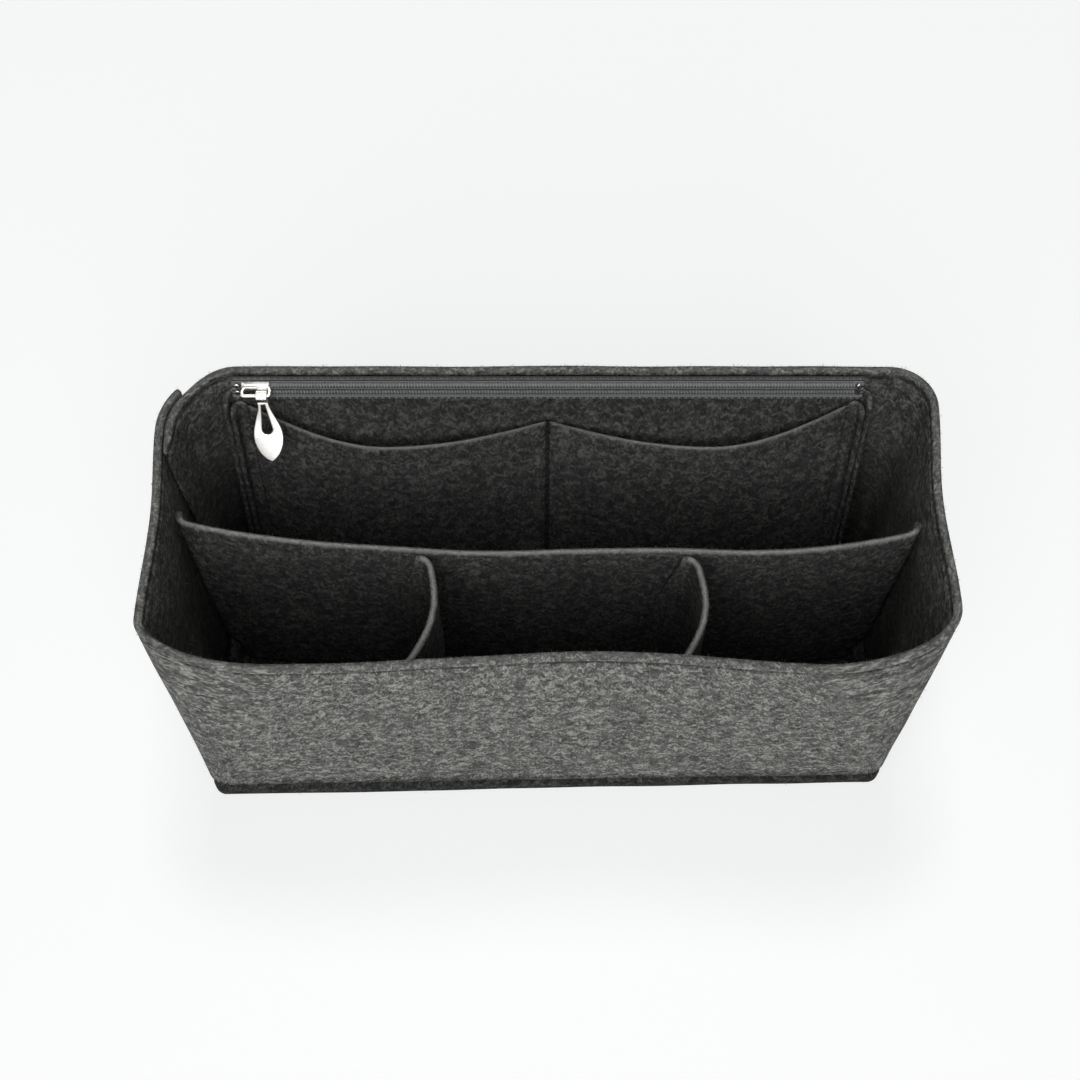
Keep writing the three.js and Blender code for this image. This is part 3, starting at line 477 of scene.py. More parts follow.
# %% Outline of the wall by station and height
RIM_LENGTH, RIM_DEPTH = 282, 122
BASE_LENGTH, BASE_DEPTH = 263, 103
HEIGHT = 135
SEAT = 0.3
REAR_LEFT, REAR_RIGHT, FRONT_RIGHT, FRONT_LEFT = (27, 27), (17, 17), (50, 25), (50, 20)
FRONT_FOOT, REAR_FOOT = 3.4, 13
FOOT_SHIFT = {-1: -3.2, 1: 2.2}
FRONT_WAIST, FRONT_WAIST_X = 4.5, 18
SIDE_PINCH = 2.0
HEM_ROUND, HEM_TUCK = 3, 0.8
HEM_SPREAD, HEM_PULL = 3.5, 1.4
STRETCHES = 8
QUARTER = math.pi / 2
TANGENT_STEP = 0.01
CORNERS = (
    (-1, 1, REAR_LEFT, REAR_FOOT),
    (1, 1, REAR_RIGHT, REAR_FOOT),
    (1, -1, FRONT_RIGHT, FRONT_FOOT),
    (-1, -1, FRONT_LEFT, FRONT_FOOT),
)
SIDES = ("rear", "right", "front", "left")


def hem_inset(z):
    edge = max(0.0, 1 - z / HEM_ROUND)
    seam = max(0.0, 1 - abs(z - HEM_SEAM) / HEM_SPREAD)
    return HEM_TUCK * edge ** 2 + HEM_PULL * (1 - math.cos(math.pi * seam)) / 2


def half_length(z):
    return lerp(BASE_LENGTH, RIM_LENGTH, z / HEIGHT) / 2 - hem_inset(z)


def half_depth(z):
    return lerp(BASE_DEPTH, RIM_DEPTH, z / HEIGHT) / 2 - hem_inset(z)


def corner_point(index, turn, z, least=0):
    """A point on a corner, whose radius is never under the least one."""
    side_x, side_y, rim, foot = CORNERS[index % len(CORNERS)]
    x, y = (max(lerp(foot, size, z / HEIGHT), least) for size in rim)
    angle = math.pi - (index + turn) * QUARTER
    shift = FOOT_SHIFT[side_x] * (1 - z / HEIGHT) ** 2 if side_y < 0 else 0
    return np.array([
        side_x * (half_length(z) - x) + x * math.cos(angle),
        side_y * (half_depth(z) - y) + y * math.sin(angle) + shift,
    ])


def dip(share, peak):
    """Zero at both ends of a side and one at its peak."""
    evened = min(max(share, 0.0), 1.0) ** (math.log(0.5) / math.log(peak))
    return (1 - math.cos(2 * math.pi * evened)) / 2


def side_point(index, share, z, least=0):
    start, end = corner_point(index, 1, z, least), corner_point(index + 1, 0, z, least)
    point = lerp(start, end, share)
    rise = (z / HEIGHT) ** 2
    if SIDES[index] == "front":
        point[1] += FRONT_WAIST * rise * dip(share, (start[0] - FRONT_WAIST_X) / (start[0] - end[0]))
    elif SIDES[index] != "rear":
        point[0] -= np.sign(point[0]) * SIDE_PINCH * rise * dip(share, 0.5)
    return point


def outline_point(station, z, least=0):
    start = math.floor(station)
    index, odd = divmod(start % STRETCHES, 2)
    return (side_point if odd else corner_point)(index, station - start, z, least)


def wall_point(station, z, inset, least=0):
    """A point in the wall, by its depth below the outer face."""
    along = outline_point(station + TANGENT_STEP, z, least) - outline_point(station - TANGENT_STEP, z, least)
    along /= np.linalg.norm(along)
    x, y = outline_point(station, z, least)
    return np.array([x + along[1] * inset, y - along[0] * inset, z])


def wall_at(side, place, z, inset):
    """A point in the front wall by X, or in the right wall by Y."""
    axis = 0 if side == "front" else 1
    index = SIDES.index(side)
    start, end = corner_point(index, 1, z)[axis], corner_point(index + 1, 0, z)[axis]
    return wall_point(2 * index + 1 + (place - start) / (end - start), z, inset)


print("wall in mm: rim", RIM_LENGTH, "x", RIM_DEPTH, "and foot", BASE_LENGTH, "x", BASE_DEPTH)

# %% [markdown]
# ## The wall strip
#
# The strip's first end lies inside its last end at the rear left corner, where both are sewn through.
# That lap shows as a notch in the rim. A closed ring would be simpler, but then the lap would be missing.
# Rows of points follow the strip at each height. They are close together at the hem, where the felt is
# rounded under and drawn in by the seam.

# %% Wall
LAP_LENGTH, LAP_EASE, LAP_GAP = 10, 4, 0.5
LAP_SHARE = 40 / 90
LAP_PRESS = 0.8
STATION_STEPS = (16, 80, 16, 26, 20, 64, 20, 26)
HEM_LEVELS = (0, 0.6, 1.4, 2.4, 3.6, 5, 6.5, 7.6, 8.6, 9.4, 10, 10.5, 11, 11.6, 12.4, 13.4, 15)
RIM_ZONE, RIM_DROPS = 7, (6, 5.2, 4.5, 3.9, 3.5, 3.1, 2.5, 1.8, 1, 0)
WALL_STEPS = 38
SEAM_PINCH, SEAM_SPREAD = 0.8, 0.9

side_length = RIM_DEPTH - FRONT_LEFT[1] - REAR_LEFT[1]
wall_start = -LAP_LENGTH / side_length
wall_end = STRETCHES + LAP_SHARE
lap_ease_start = wall_start - LAP_EASE / side_length


def lap_depth(station):
    """How far the lap's inner end pushes the felt in from the outline."""
    past = station - STRETCHES if station > STRETCHES / 2 else station
    return (WALL + LAP_GAP) * smooth(past, lap_ease_start, wall_start) * (1 - smooth(past, LAP_SHARE, 1))


def stations_between(first, last):
    inner = []
    for start in range(math.floor(first), math.ceil(last)):
        inner += [start + share for share in evenly(STATION_STEPS[start % STRETCHES])[1:]]
    return [first] + [s for s in inner if first + TANGENT_STEP < s < last - TANGENT_STEP] + [last]


def lap_press(station):
    """How far the strip's first end is pressed to what it is sewn to."""
    return LAP_PRESS * (1 - smooth(station, wall_start, 0))


def wall_pinch(grid):
    """The felt is thinner where the rim seam draws it together, and at the strip's first end."""
    ends = [wall_stations[0], *wall_stations, wall_stations[-1]]
    seam = SEAM_PINCH * np.exp(-(((grid[:, :, 2] - RIM_SEAM) / SEAM_SPREAD) ** 2))
    return seam + np.array([lap_press(station) for station in ends])


def wall_depth(station):
    """How deep the strip's middle lies: half its thickness, and more at the end inside the lap."""
    return WALL / 2 + (lap_depth(station) - lap_press(station) if station < STRETCHES / 2 else 0)


wall_levels = [*HEM_LEVELS]
wall_levels += [lerp(HEM_LEVELS[-1], HEIGHT - RIM_ZONE, share) for share in evenly(WALL_STEPS)[1:]]
wall_levels += [HEIGHT - drop for drop in RIM_DROPS]
wall_stations = stations_between(wall_start, wall_end)
wall_rows = [[wall_point(s, z, wall_depth(s)) for s in wall_stations] for z in wall_levels]
wall = cloth_piece("wall", wall_rows, WALL, wall_felt, wave=(0.55, 34.0, 1), pinch=wall_pinch)
strip_length = np.linalg.norm(np.diff(wall_rows[-1], axis=0), axis=1).sum()
print("wall strip along the rim in mm:", round(strip_length))

# %% [markdown]
# ## The base tray
#
# The floor is a rectangle of felt in the lining's darker colours, which are painted shade. Its edge is
# folded up into a flange inside the wall, and the hem seam catches it there. Rings of points run from the
# middle of the underside, round the fold, over the flange's cut edge and back to the middle of the floor.
# A cloth simulation could fold it too, but this fold is plain enough to write down.

# %% Base
TRAY_FACE = WALL + 0.5
BASE_FELT, BASE_FOLD = 3.0, 1.5
FLANGE_TOP = HEM_SEAM + 3.5
FLANGE_LEVELS = (6, 8, 9.5, 10.5, 12)
TRAY_CORNER = 10.8
FLOOR_SHRINKS = (0.1, 0.4, 0.7, 0.9)
inner_face = TRAY_FACE + BASE_FELT
base_stations = stations_between(0, STRETCHES)[:-1]


def base_ring(z, inset, shrink=1.0):
    ring = np.array([wall_point(s, z, inset + lap_depth(s), TRAY_CORNER) for s in base_stations])
    ring[:, :2] *= shrink
    return ring


def base_fold(floor, face, radius):
    """Rings round the fold from the floor up to a face of the flange."""
    turns = [share * QUARTER for share in evenly(6)]
    return [base_ring(floor + radius * (1 - math.cos(turn)), face + radius * (1 - math.sin(turn)))
            for turn in turns]


flange_levels = (*FLANGE_LEVELS, FLANGE_TOP - EDGE)
outer_side = [base_ring(z, TRAY_FACE) for z in flange_levels]
inner_side = [base_ring(z, inner_face) for z in flange_levels[::-1]]
flange_edge = [base_ring(FLANGE_TOP, TRAY_FACE + EDGE), base_ring(FLANGE_TOP, inner_face - EDGE)]
under_rings = [base_ring(0, TRAY_FACE + BASE_FELT + BASE_FOLD, share) for share in FLOOR_SHRINKS]
floor_rings = [base_ring(BASE_FELT, inner_face + BASE_FOLD, share) for share in FLOOR_SHRINKS]
rings = [*under_rings, *base_fold(0, TRAY_FACE, BASE_FELT + BASE_FOLD), *outer_side, *flange_edge]
rings += [*inner_side, *base_fold(BASE_FELT, inner_face, BASE_FOLD)[::-1], *floor_rings[::-1]]
size = len(base_stations)
base_points = np.concatenate([*rings, [[0, 0, 0]], [[0, 0, BASE_FELT]]])
last = (len(rings) - 1) * size
base_faces = []
for here in range(size):
    after = (here + 1) % size
    for ring in range(len(rings) - 1):
        a, b = ring * size, (ring + 1) * size
        base_faces.append((a + here, a + after, b + after, b + here))
    base_faces.append((after, here, len(base_points) - 2))
    base_faces.append((last + here, last + after, len(base_points) - 1))
base = mesh_object("base", base_points, base_faces, lining_felt, base_points, np.zeros(len(base_points)))
print("base tray has", len(base_faces), "faces")

# %% [markdown]
# ## Long divider
#
# The long divider runs from side to side, bowed to the front and a little wavy, with its ends turned back
# along the side walls as tabs. The tabs' tops are cut at a slope, so they hardly show, and the foot steps in
# where it lies on the flange. Modifiers could bend a flat sheet, but a row of points is simply the felt's
# path at one height, and that path changes from foot to top.

# %% Long divider
DIVIDER = 2.5
DIVIDER_TOP = HEIGHT - 20
DIVIDER_END_Y, DIVIDER_BOW, DIVIDER_FOOT_BOW = 5, 10, 4
DIVIDER_TAB, DIVIDER_FOLD, DIVIDER_SLANT = 15, 4, 2.2
DIVIDER_WAVE, DIVIDER_WAVE_LENGTH, DIVIDER_WAVE_X = 0.9, 126, 3.5
DIVIDER_STEPS, LINING_STEPS = 90, 30
TAB_PRESS, TAB_COLUMNS, TAB_STEPS = 0.9, 7, 5
END_TAB_DROP, END_TAB_LINES = 45, 10
FLANGE_STEP = 10
LINING_BOTTOM = BASE_FELT + BASE_FOLD + SEAT
OVER_FLANGE = inner_face + SEAT
STEP_TOP = FLANGE_TOP + SEAT + FLANGE_STEP


def lining_inset(z):
    return lerp(OVER_FLANGE, WALL + SEAT, min(max((z - FLANGE_TOP - SEAT) / FLANGE_STEP, 0), 1))


def divider_reach(z):
    return wall_at("right", DIVIDER_END_Y, z, lining_inset(z) + DIVIDER / 2)[0]


def divider_end(side, z):
    """How far back the divider meets a side wall: further at the left, side -1, than at the right, 1."""
    return DIVIDER_END_Y - side * DIVIDER_SLANT * z / DIVIDER_TOP


def divider_point(x, z):
    side = x / divider_reach(z)
    bow = lerp(DIVIDER_FOOT_BOW, DIVIDER_BOW, z / DIVIDER_TOP)
    slackness = 1 - min(abs(side), 1.0) ** 4
    phase = 2 * math.pi * (x - DIVIDER_WAVE_X) / DIVIDER_WAVE_LENGTH
    wave = DIVIDER_WAVE * math.sin(phase) * z / DIVIDER_TOP
    return np.array([x, divider_end(side, z) + (wave - bow) * slackness, z])


def fold(start, corner, end, steps=8):
    """A soft fold from one leg's end to the other's, round a corner point."""
    return [lerp(lerp(start, corner, t), lerp(corner, end, t), t) for t in evenly(steps)]


def pressed(share, z, drop):
    """How far a tab's middle moves to what it is sewn to, and the height that its corner is cut down to."""
    return TAB_PRESS * share, z - drop * share * (z / DIVIDER_TOP) ** 2


def tab_pinch(grid):
    """Tabs are pressed thin towards both ends of a row."""
    columns = grid.shape[1]
    marks = (0, TAB_COLUMNS, columns - TAB_COLUMNS, columns)
    return np.interp(range(columns), marks, (TAB_PRESS, 0, 0, TAB_PRESS))


def divider_tab(side, share, z):
    press, low = pressed(share, z, END_TAB_DROP)
    y = divider_end(side, z) + lerp(DIVIDER_FOLD, DIVIDER_TAB, share)
    return wall_at("right", y, low, lining_inset(low) + DIVIDER / 2 - press) * np.array([side, 1, 1])


def divider_row(z):
    reach = divider_reach(z)
    straight = reach - DIVIDER_FOLD
    ends = {}
    for side in (-1, 1):
        tab = [divider_tab(side, share, z) for share in evenly(TAB_STEPS)]
        corner = np.array([side * reach, divider_end(side, z), z])
        ends[side] = [*fold(divider_point(side * straight, z), corner, tab[0]), *tab[1:]]
    middle = [divider_point(lerp(-straight, straight, share), z) for share in evenly(DIVIDER_STEPS)]
    return [*ends[-1][:0:-1], *middle, *ends[1][1:]]


lining_levels = [LINING_BOTTOM, 7.5, HEM_SEAM, FLANGE_TOP + SEAT, 18, 21, STEP_TOP]
lining_levels += [lerp(STEP_TOP, DIVIDER_TOP, share) for share in evenly(LINING_STEPS)[1:]]
divider_rows = [divider_row(z) for z in lining_levels]
long_divider = cloth_piece("long_divider_felt", divider_rows, DIVIDER, lining_felt, wave=(0.5, 30.0, 2),
                           pinch=tab_pinch, tab_lines=END_TAB_LINES)
print(long_divider.name, "has", len(divider_rows), "rows of", len(divider_rows[0]), "points")

# %% [markdown]
# ## Cross dividers
#
# Each cross divider is a strip whose two ends turn to the left: one is sewn to the long divider and one to
# the front wall. Between them it bows to the right. It is made of rows like the long divider. They start
# from points on that divider and end on the wall, so the pieces meet at every height.

# %% Cross dividers
CROSS_DIVIDERS = {"left": (-43, -52.5), "right": (52.5, 43.5)}
CROSS_BOW, CROSS_TAB, CROSS_STEPS = 7, 12, 18
CROSS_TAB_DROP, CROSS_TAB_LINES = 40, 8


def cross_rear(x, z, lift):
    return divider_point(x, z) - np.array([0, DIVIDER / 2 + SEAT + lift, 0])


def cross_front(x, z, lift):
    return wall_at("front", x, z, lining_inset(z) + lift)


def cross_row(z, rear, front):
    lift = DIVIDER / 2
    rear_corner, front_corner = cross_rear(rear, z, lift), cross_front(front, z, lift)
    fold_share = DIVIDER_FOLD / (rear_corner[1] - front_corner[1])
    web = [lerp(rear_corner, front_corner, share) + np.array([CROSS_BOW * math.sin(math.pi * share), 0, 0])
           for share in (lerp(fold_share, 1 - fold_share, t) for t in evenly(CROSS_STEPS))]
    tabs = []
    for sew, corner in ((cross_rear, rear), (cross_front, front)):
        tab = [(lerp(DIVIDER_FOLD, CROSS_TAB, share), *pressed(share, z, CROSS_TAB_DROP))
               for share in evenly(TAB_STEPS)]
        tabs.append([sew(corner - x, low, lift - press) for x, press, low in tab])
    rear_tab, front_tab = tabs
    return [*rear_tab[::-1], *fold(rear_tab[0], rear_corner, web[0])[1:], *web[1:-1],
            *fold(web[-1], front_corner, front_tab[0]), *front_tab[1:]]


cross_rows = {side: [cross_row(z, *ends) for z in lining_levels] for side, ends in CROSS_DIVIDERS.items()}
cross_dividers = {
    side: cloth_piece(f"{side}_cross_divider_felt", rows, DIVIDER, lining_felt, wave=(0.4, 26.0, 3),
                      pinch=tab_pinch, tab_lines=CROSS_TAB_LINES)
    for side, rows in cross_rows.items()
}
print("cross dividers:", *[piece.name for piece in cross_dividers.values()])

# %% [markdown]
# ## The zip's own frame
#
# The zip leans back from the rear wall. Its parts are easiest to describe in their own directions: along
# the chain, up the tapes and out towards the hand. The puller's hinge is stored in the model, so the
# zip's middle line is found from it, and the fit is exact.

# %% Zip frame
ZIP_TILT = math.radians(16)
SLOT_HALF, COIL_EDGE = 0.55, 2.55
UPPER_EDGE, LOWER_EDGE = 4.65, 5.85
TAPE = 0.5
PLATE_UNDER, PLATE_OVER = 2.45, 3.25
BORE, EYE = 1.363, 2.213
PIVOT_OUT = PLATE_OVER + SEAT + EYE
PULL_SHIFT = 2.3

UP_TAPE = np.array([0, math.sin(ZIP_TILT), math.cos(ZIP_TILT)])
OUT_OF_TAPE = np.array([0, -math.cos(ZIP_TILT), math.sin(ZIP_TILT)])
hinge = next(np.array(joint["pos_m"]) / MM for joint in frame["joints"] if joint["name"] == "puller_lift")
slider_x = hinge[0]
pull_x = slider_x + PULL_SHIFT
zip_middle = hinge * np.array([0, 1, 1]) - PIVOT_OUT * OUT_OF_TAPE


def zip_point(x, up, out):
    return zip_middle + np.array([x, 0, 0]) + up * UP_TAPE + out * OUT_OF_TAPE


print("zip middle line at y, z in mm:", zip_middle[1:].round(2))

# %% [markdown]
# ## Pocket panels
#
# A thinner felt panel hangs behind the zip's lower tape and closes the zip pocket. The slip pocket panel
# lies in front of it, sewn at both ends and up its middle. Between the seams its upper edge is scooped and
# falls open, so that edge is a curve in height and in depth at once, and both fade out downwards. Simulated
# cloth would fall in this way too, but not just where the photograph shows it.

# %% Pocket panels
POCKET = 2.0
POCKET_FOLD, PANEL_TAB, PANEL_TAB_LINES = 3, 8, 10
PANEL_ROWS, PANEL_STEPS = 34, 104
PANEL_MARGIN = 22
PANEL_HALF = RIM_LENGTH / 2 - PANEL_MARGIN - POCKET / 2
SLIP_HALF = PANEL_HALF - POCKET - SEAT
SLIP_STRAIGHT = SLIP_HALF - POCKET_FOLD
PANEL_SEAM_X = SLIP_STRAIGHT - 2
MOUTH_GAPE, MOUTH_LOW_X = 6.5, 61
MOUTH_SCOOP, GAPE_FADE = 1.8, 0.8
MOUTH_LOW, MOUTH_CENTRE, MOUTH_END_GAP = HEIGHT - 31.5, HEIGHT - 24, 1.5

panel_top = zip_point(0, -(COIL_EDGE + 2 * SEAT), -(TAPE / 2 + SEAT))
mouth_end = zip_point(0, -LOWER_EDGE, -TAPE / 2)[2] - MOUTH_END_GAP
panel_foot = half_depth(HEM_SEAM) - OVER_FLANGE - POCKET / 2


def panel_point(x, z):
    share = (z - HEM_SEAM) / (panel_top[2] - HEM_SEAM)
    return np.array([x, lerp(panel_foot, panel_top[1] + POCKET / 2, share), z])


def slip_point(x, share):
    away = min(abs(x), SLIP_STRAIGHT)
    inner = away < MOUTH_LOW_X
    from_low = abs(away - MOUTH_LOW_X) / (MOUTH_LOW_X if inner else SLIP_STRAIGHT - MOUTH_LOW_X)
    mouth = lerp(MOUTH_LOW, MOUTH_CENTRE if inner else mouth_end, from_low ** MOUTH_SCOOP)
    point = panel_point(x, lerp(LINING_BOTTOM, mouth, share))
    gape = MOUTH_GAPE * math.cos(QUARTER * from_low) * share ** GAPE_FADE
    return point - np.array([0, POCKET + SEAT + gape, 0])


def mirrored(points):
    return [point * np.array([-1, 1, 1]) for point in points][::-1]


def turned_row(half, tab, point_at):
    """A panel's row with both ends turned to the front."""
    straight = half - POCKET_FOLD
    corner = point_at(half)
    ahead = [corner - np.array([0, y, 0]) for y in np.linspace(POCKET_FOLD, tab, 4)]
    right = [*fold(point_at(straight), corner, ahead[0])[1:], *ahead[1:]]
    middle = [point_at(lerp(-straight, straight, share)) for share in evenly(PANEL_STEPS)]
    return [*mirrored(right), *middle, *right]


def panel_pinch(grid):
    """The slip panel is thinner along its three upright seams."""
    x = grid[:, :, 0]
    places = (-PANEL_SEAM_X, 0, PANEL_SEAM_X)
    return sum(SEAM_PINCH * np.exp(-(((x - place) / SEAM_SPREAD) ** 2)) for place in places)


panel_rows = [turned_row(PANEL_HALF, PANEL_TAB, lambda x, z=z: panel_point(x, z))
              for z in (lerp(LINING_BOTTOM, panel_top[2], share) for share in evenly(PANEL_ROWS))]
zip_panel = cloth_piece("zip_pocket_felt", panel_rows, POCKET, lining_felt, wave=(0.15, 30.0, 4),
                        tab_lines=PANEL_TAB_LINES)
slip_rows = [turned_row(SLIP_HALF, PANEL_TAB - POCKET - SEAT, lambda x, share=share: slip_point(x, share))
             for share in evenly(PANEL_ROWS)]
slip_panel = cloth_piece("slip_pocket_felt", slip_rows, POCKET, shaded_slip_felt, wave=(0.3, 28.0, 5),
                         pinch=panel_pinch, tab_lines=PANEL_TAB_LINES)
print("slip pocket mouth hangs from", round(mouth_end), "to", round(MOUTH_LOW), "mm")

# %% [markdown]
# ## Zip tapes
#
# Each tape is a narrow woven band of fine lengthwise ribs, with a soft shine. It is a cloth sheet like the
# felt, only thinner. The weave is finer than the picture can show, so the ribs are drawn twice as wide as
# real ones. Thin lines of shade run along the tapes beside the coil and below the rim.

# %% Tape material
RIB = 0.9 * MM
TAPE_LINES, LINE_SHARE = ((2.65, 0.4), (4.0, 0.3)), 0.2

woven_tape, tree = new_material("woven_polyester_tape")
place = add_node(tree, "ShaderNodeTexCoord").outputs["Object"]
lay = add_node(tree, "ShaderNodeMapping", {"Vector": place, "Rotation": (ZIP_TILT, 0, 0)})
ribs = add_node(tree, "ShaderNodeTexWave", {
    "Vector": lay.outputs[0], "Scale": math.pi / (10 * RIB), "Distortion": 0.6, "Detail": 2.0,
}, bands_direction="Z")
picks = add_node(tree, "ShaderNodeTexWave", {
    "Vector": lay.outputs[0], "Scale": math.pi / (10 * RIB), "Distortion": 0.4,
}, bands_direction="X")
weave = add_node(tree, "ShaderNodeMix", {0: 0.2, 2: ribs.outputs[1], 3: picks.outputs[1]})
ramp = add_node(tree, "ShaderNodeValToRGB", {0: weave.outputs[0]})
ramp.color_ramp.elements[0].color = linear("#676868")
ramp.color_ramp.elements[1].color = linear("#b0b2b2")
across = add_node(tree, "ShaderNodeAttribute", attribute_name="flat").outputs["Vector"]
across = add_node(tree, "ShaderNodeSeparateXYZ", {0: across}).outputs["Y"]
lines = [
    add_node(tree, "ShaderNodeMath", {0: across, 1: middle * MM, 2: half * MM}, operation="COMPARE")
    for middle, half in TAPE_LINES
]
lines = gathered(tree, [line.outputs[0] for line in lines], "MAXIMUM")
lines = add_node(tree, "ShaderNodeMapRange", {"Value": lines, "To Min": 1.0, "To Max": LINE_SHARE}).outputs[0]
shade = add_node(tree, "ShaderNodeVectorMath", {0: ramp.outputs[0], 1: lines}, operation="MULTIPLY")
bump = add_node(tree, "ShaderNodeBump", {"Height": weave.outputs[0], "Distance": 0.12 * MM, "Strength": 0.6})
surface = add_node(tree, "ShaderNodeBsdfPrincipled", {
    "Base Color": shade.outputs[0], "Roughness": 0.75, "Specular IOR Level": 0.3, "Sheen Weight": 0.1,
    "Normal": bump.outputs[0],
})
add_node(tree, "ShaderNodeOutputMaterial", {"Surface": surface.outputs[0]})
print("tape ribs in mm:", round(RIB / MM, 2))

# %% Tapes
TAPE_END, TAPE_EDGE, TAPE_CROWN, TAPE_ROWS = 1.5, 0.1, 0.06, 9
TAPE_HALF = RIM_LENGTH / 2 - PANEL_MARGIN - POCKET - TAPE_END
TAPE_COLUMNS = np.linspace(-TAPE_HALF, TAPE_HALF, 120)


def tape_piece(name, low, high, seed):
    rows = [[zip_point(x, up, 0) for x in TAPE_COLUMNS] for up in np.linspace(low, high, TAPE_ROWS)]
    return cloth_piece(name, rows, TAPE, woven_tape, wave=(0.06, 9.0, seed), edge=TAPE_EDGE, crown=TAPE_CROWN)


upper_tape = tape_piece("upper_tape_cloth", SLOT_HALF, UPPER_EDGE, 6)
lower_tape = tape_piece("lower_tape_cloth", -LOWER_EDGE, -SLOT_HALF, 7)
print("tapes are", round(2 * TAPE_HALF), "mm long")

# %% [markdown]
# ## Geometry Nodes for what repeats
#
# Stitches, coil loops and loose fibres are each one small shape, repeated along a line or over a surface.
# Geometry Nodes do that: a tree places copies, turns them into real mesh and sets their material. A loop in
# Python could do it too, but a tree is faster and has its sizes as named inputs. A helper runs a tree on a
# carrier object, such as a line or a felt piece, and keeps the result as a plain mesh.


# %% Helpers for Geometry Nodes
def new_tree(name, **sockets):
    """A geometry tree with a carrier, the named inputs and a result, and the sockets of its inputs."""
    tree = bpy.data.node_groups.new(name, "GeometryNodeTree")
    tree.interface.new_socket("Carrier", in_out="INPUT", socket_type="NodeSocketGeometry")
    for key, kind in sockets.items():
        tree.interface.new_socket(key, in_out="INPUT", socket_type=f"NodeSocket{kind}")
    tree.interface.new_socket("Result", in_out="OUTPUT", socket_type="NodeSocketGeometry")
    return tree, add_node(tree, "NodeGroupInput").outputs


def shown(sockets):
    """The number sockets that a node shows for its data type."""
    return [socket for socket in sockets if socket.enabled and socket.type == "VALUE"]


def end_tree(tree, instances, material):
    """Real mesh, smooth shading, the material and the tree's output."""
    real = add_node(tree, "GeometryNodeRealizeInstances", {0: instances})
    soft = add_node(tree, "GeometryNodeSetShadeSmooth", {"Geometry": real.outputs[0]})
    dyed = add_node(tree, "GeometryNodeSetMaterial", {"Geometry": soft.outputs[0], "Material": material})
    add_node(tree, "NodeGroupOutput", {0: dyed.outputs[0]})


def run_tree(tree, name, carrier, **values):
    """The tree's result on a carrier object, as a plain mesh object with that name."""
    modifier = carrier.modifiers.new(tree.name, "NODES")
    modifier.node_group = tree
    for item in tree.interface.items_tree:
        if item.in_out == "INPUT" and item.name in values:
            modifier[item.identifier] = values[item.name]
    evaluated = carrier.evaluated_get(bpy.context.evaluated_depsgraph_get())
    piece = add_object(name, bpy.data.meshes.new_from_object(evaluated))
    piece.data.name = name
    carrier.modifiers.remove(modifier)
    return piece


def path_carrier(points):
    """A line of edges through points in millimetres, for a tree to follow."""
    mesh = bpy.data.meshes.new("path")
    mesh.from_pydata((np.array(points) * MM).tolist(), [(i, i + 1) for i in range(len(points) - 1)], [])
    return add_object("path", mesh)


# %% [markdown]
# ## Stitches
#
# A machine stitch shows as a short, plump length of thread that dips into the felt at both ends. One
# stretched ball per stitch, half sunk in the felt, looks just like that. The thread is dark grey spun
# polyester: its twist shows as fine slanted lines with a soft shine. A thread that really runs in and out
# of the felt would need far more faces and look the same. No two stitches are quite as long.

# %% Thread material
TWIST = 0.5 * MM

thread, tree = new_material("spun_polyester_thread")
place = add_node(tree, "ShaderNodeTexCoord").outputs["Object"]
lay = add_node(tree, "ShaderNodeMapping", {"Vector": place, "Rotation": (0.6, 0.7, 0.6)})
twist = add_node(tree, "ShaderNodeTexWave", {"Vector": lay.outputs[0], "Scale": math.pi / (10 * TWIST)})
ramp = add_node(tree, "ShaderNodeValToRGB", {0: twist.outputs[1]})
ramp.color_ramp.elements[0].color = linear("#222323")
ramp.color_ramp.elements[1].color = linear("#464747")
bump = add_node(tree, "ShaderNodeBump", {"Height": twist.outputs[1], "Distance": 0.08 * MM})
surface = add_node(tree, "ShaderNodeBsdfPrincipled", {
    "Base Color": ramp.outputs[0], "Roughness": 0.7, "Specular IOR Level": 0.3, "Normal": bump.outputs[0],
})
add_node(tree, "ShaderNodeOutputMaterial", {"Surface": surface.outputs[0]})
print("thread twist in mm:", round(TWIST / MM, 2))

# %% Stitch tree
STITCH_VARY = (0.88, 1.08)

stitch_tree, given = new_tree("stitch_row", Pitch="Float", Length="Float", Thread="Float",
                              Material="Material")
line = add_node(stitch_tree, "GeometryNodeMeshToCurve", {0: given["Carrier"]})
marks = add_node(stitch_tree, "GeometryNodeResampleCurve", {
    "Curve": line.outputs[0], "Length": given["Pitch"],
}, mode="LENGTH")
tangent = add_node(stitch_tree, "GeometryNodeInputTangent")
turn = add_node(stitch_tree, "FunctionNodeAlignRotationToVector", {"Vector": tangent.outputs[0]}, axis="X")
ball = add_node(stitch_tree, "GeometryNodeMeshUVSphere", {"Segments": 8, "Rings": 6, "Radius": 0.5})
stretch = add_node(stitch_tree, "ShaderNodeCombineXYZ", {
    0: given["Length"], 1: given["Thread"], 2: given["Thread"],
})
stitch = add_node(stitch_tree, "GeometryNodeTransform", {
    "Geometry": ball.outputs[0], "Scale": stretch.outputs[0],
})
vary = add_node(stitch_tree, "FunctionNodeRandomValue", {"Seed": 3}, data_type="FLOAT")
for socket, share in zip(shown(vary.inputs), STITCH_VARY):
    socket.default_value = share
copies = add_node(stitch_tree, "GeometryNodeInstanceOnPoints", {
    "Points": marks.outputs[0], "Instance": stitch.outputs[0], "Rotation": turn.outputs[0],
    "Scale": shown(vary.outputs)[0],
})
end_tree(stitch_tree, copies.outputs[0], given["Material"])
print("stitch tree has", len(stitch_tree.nodes), "nodes")

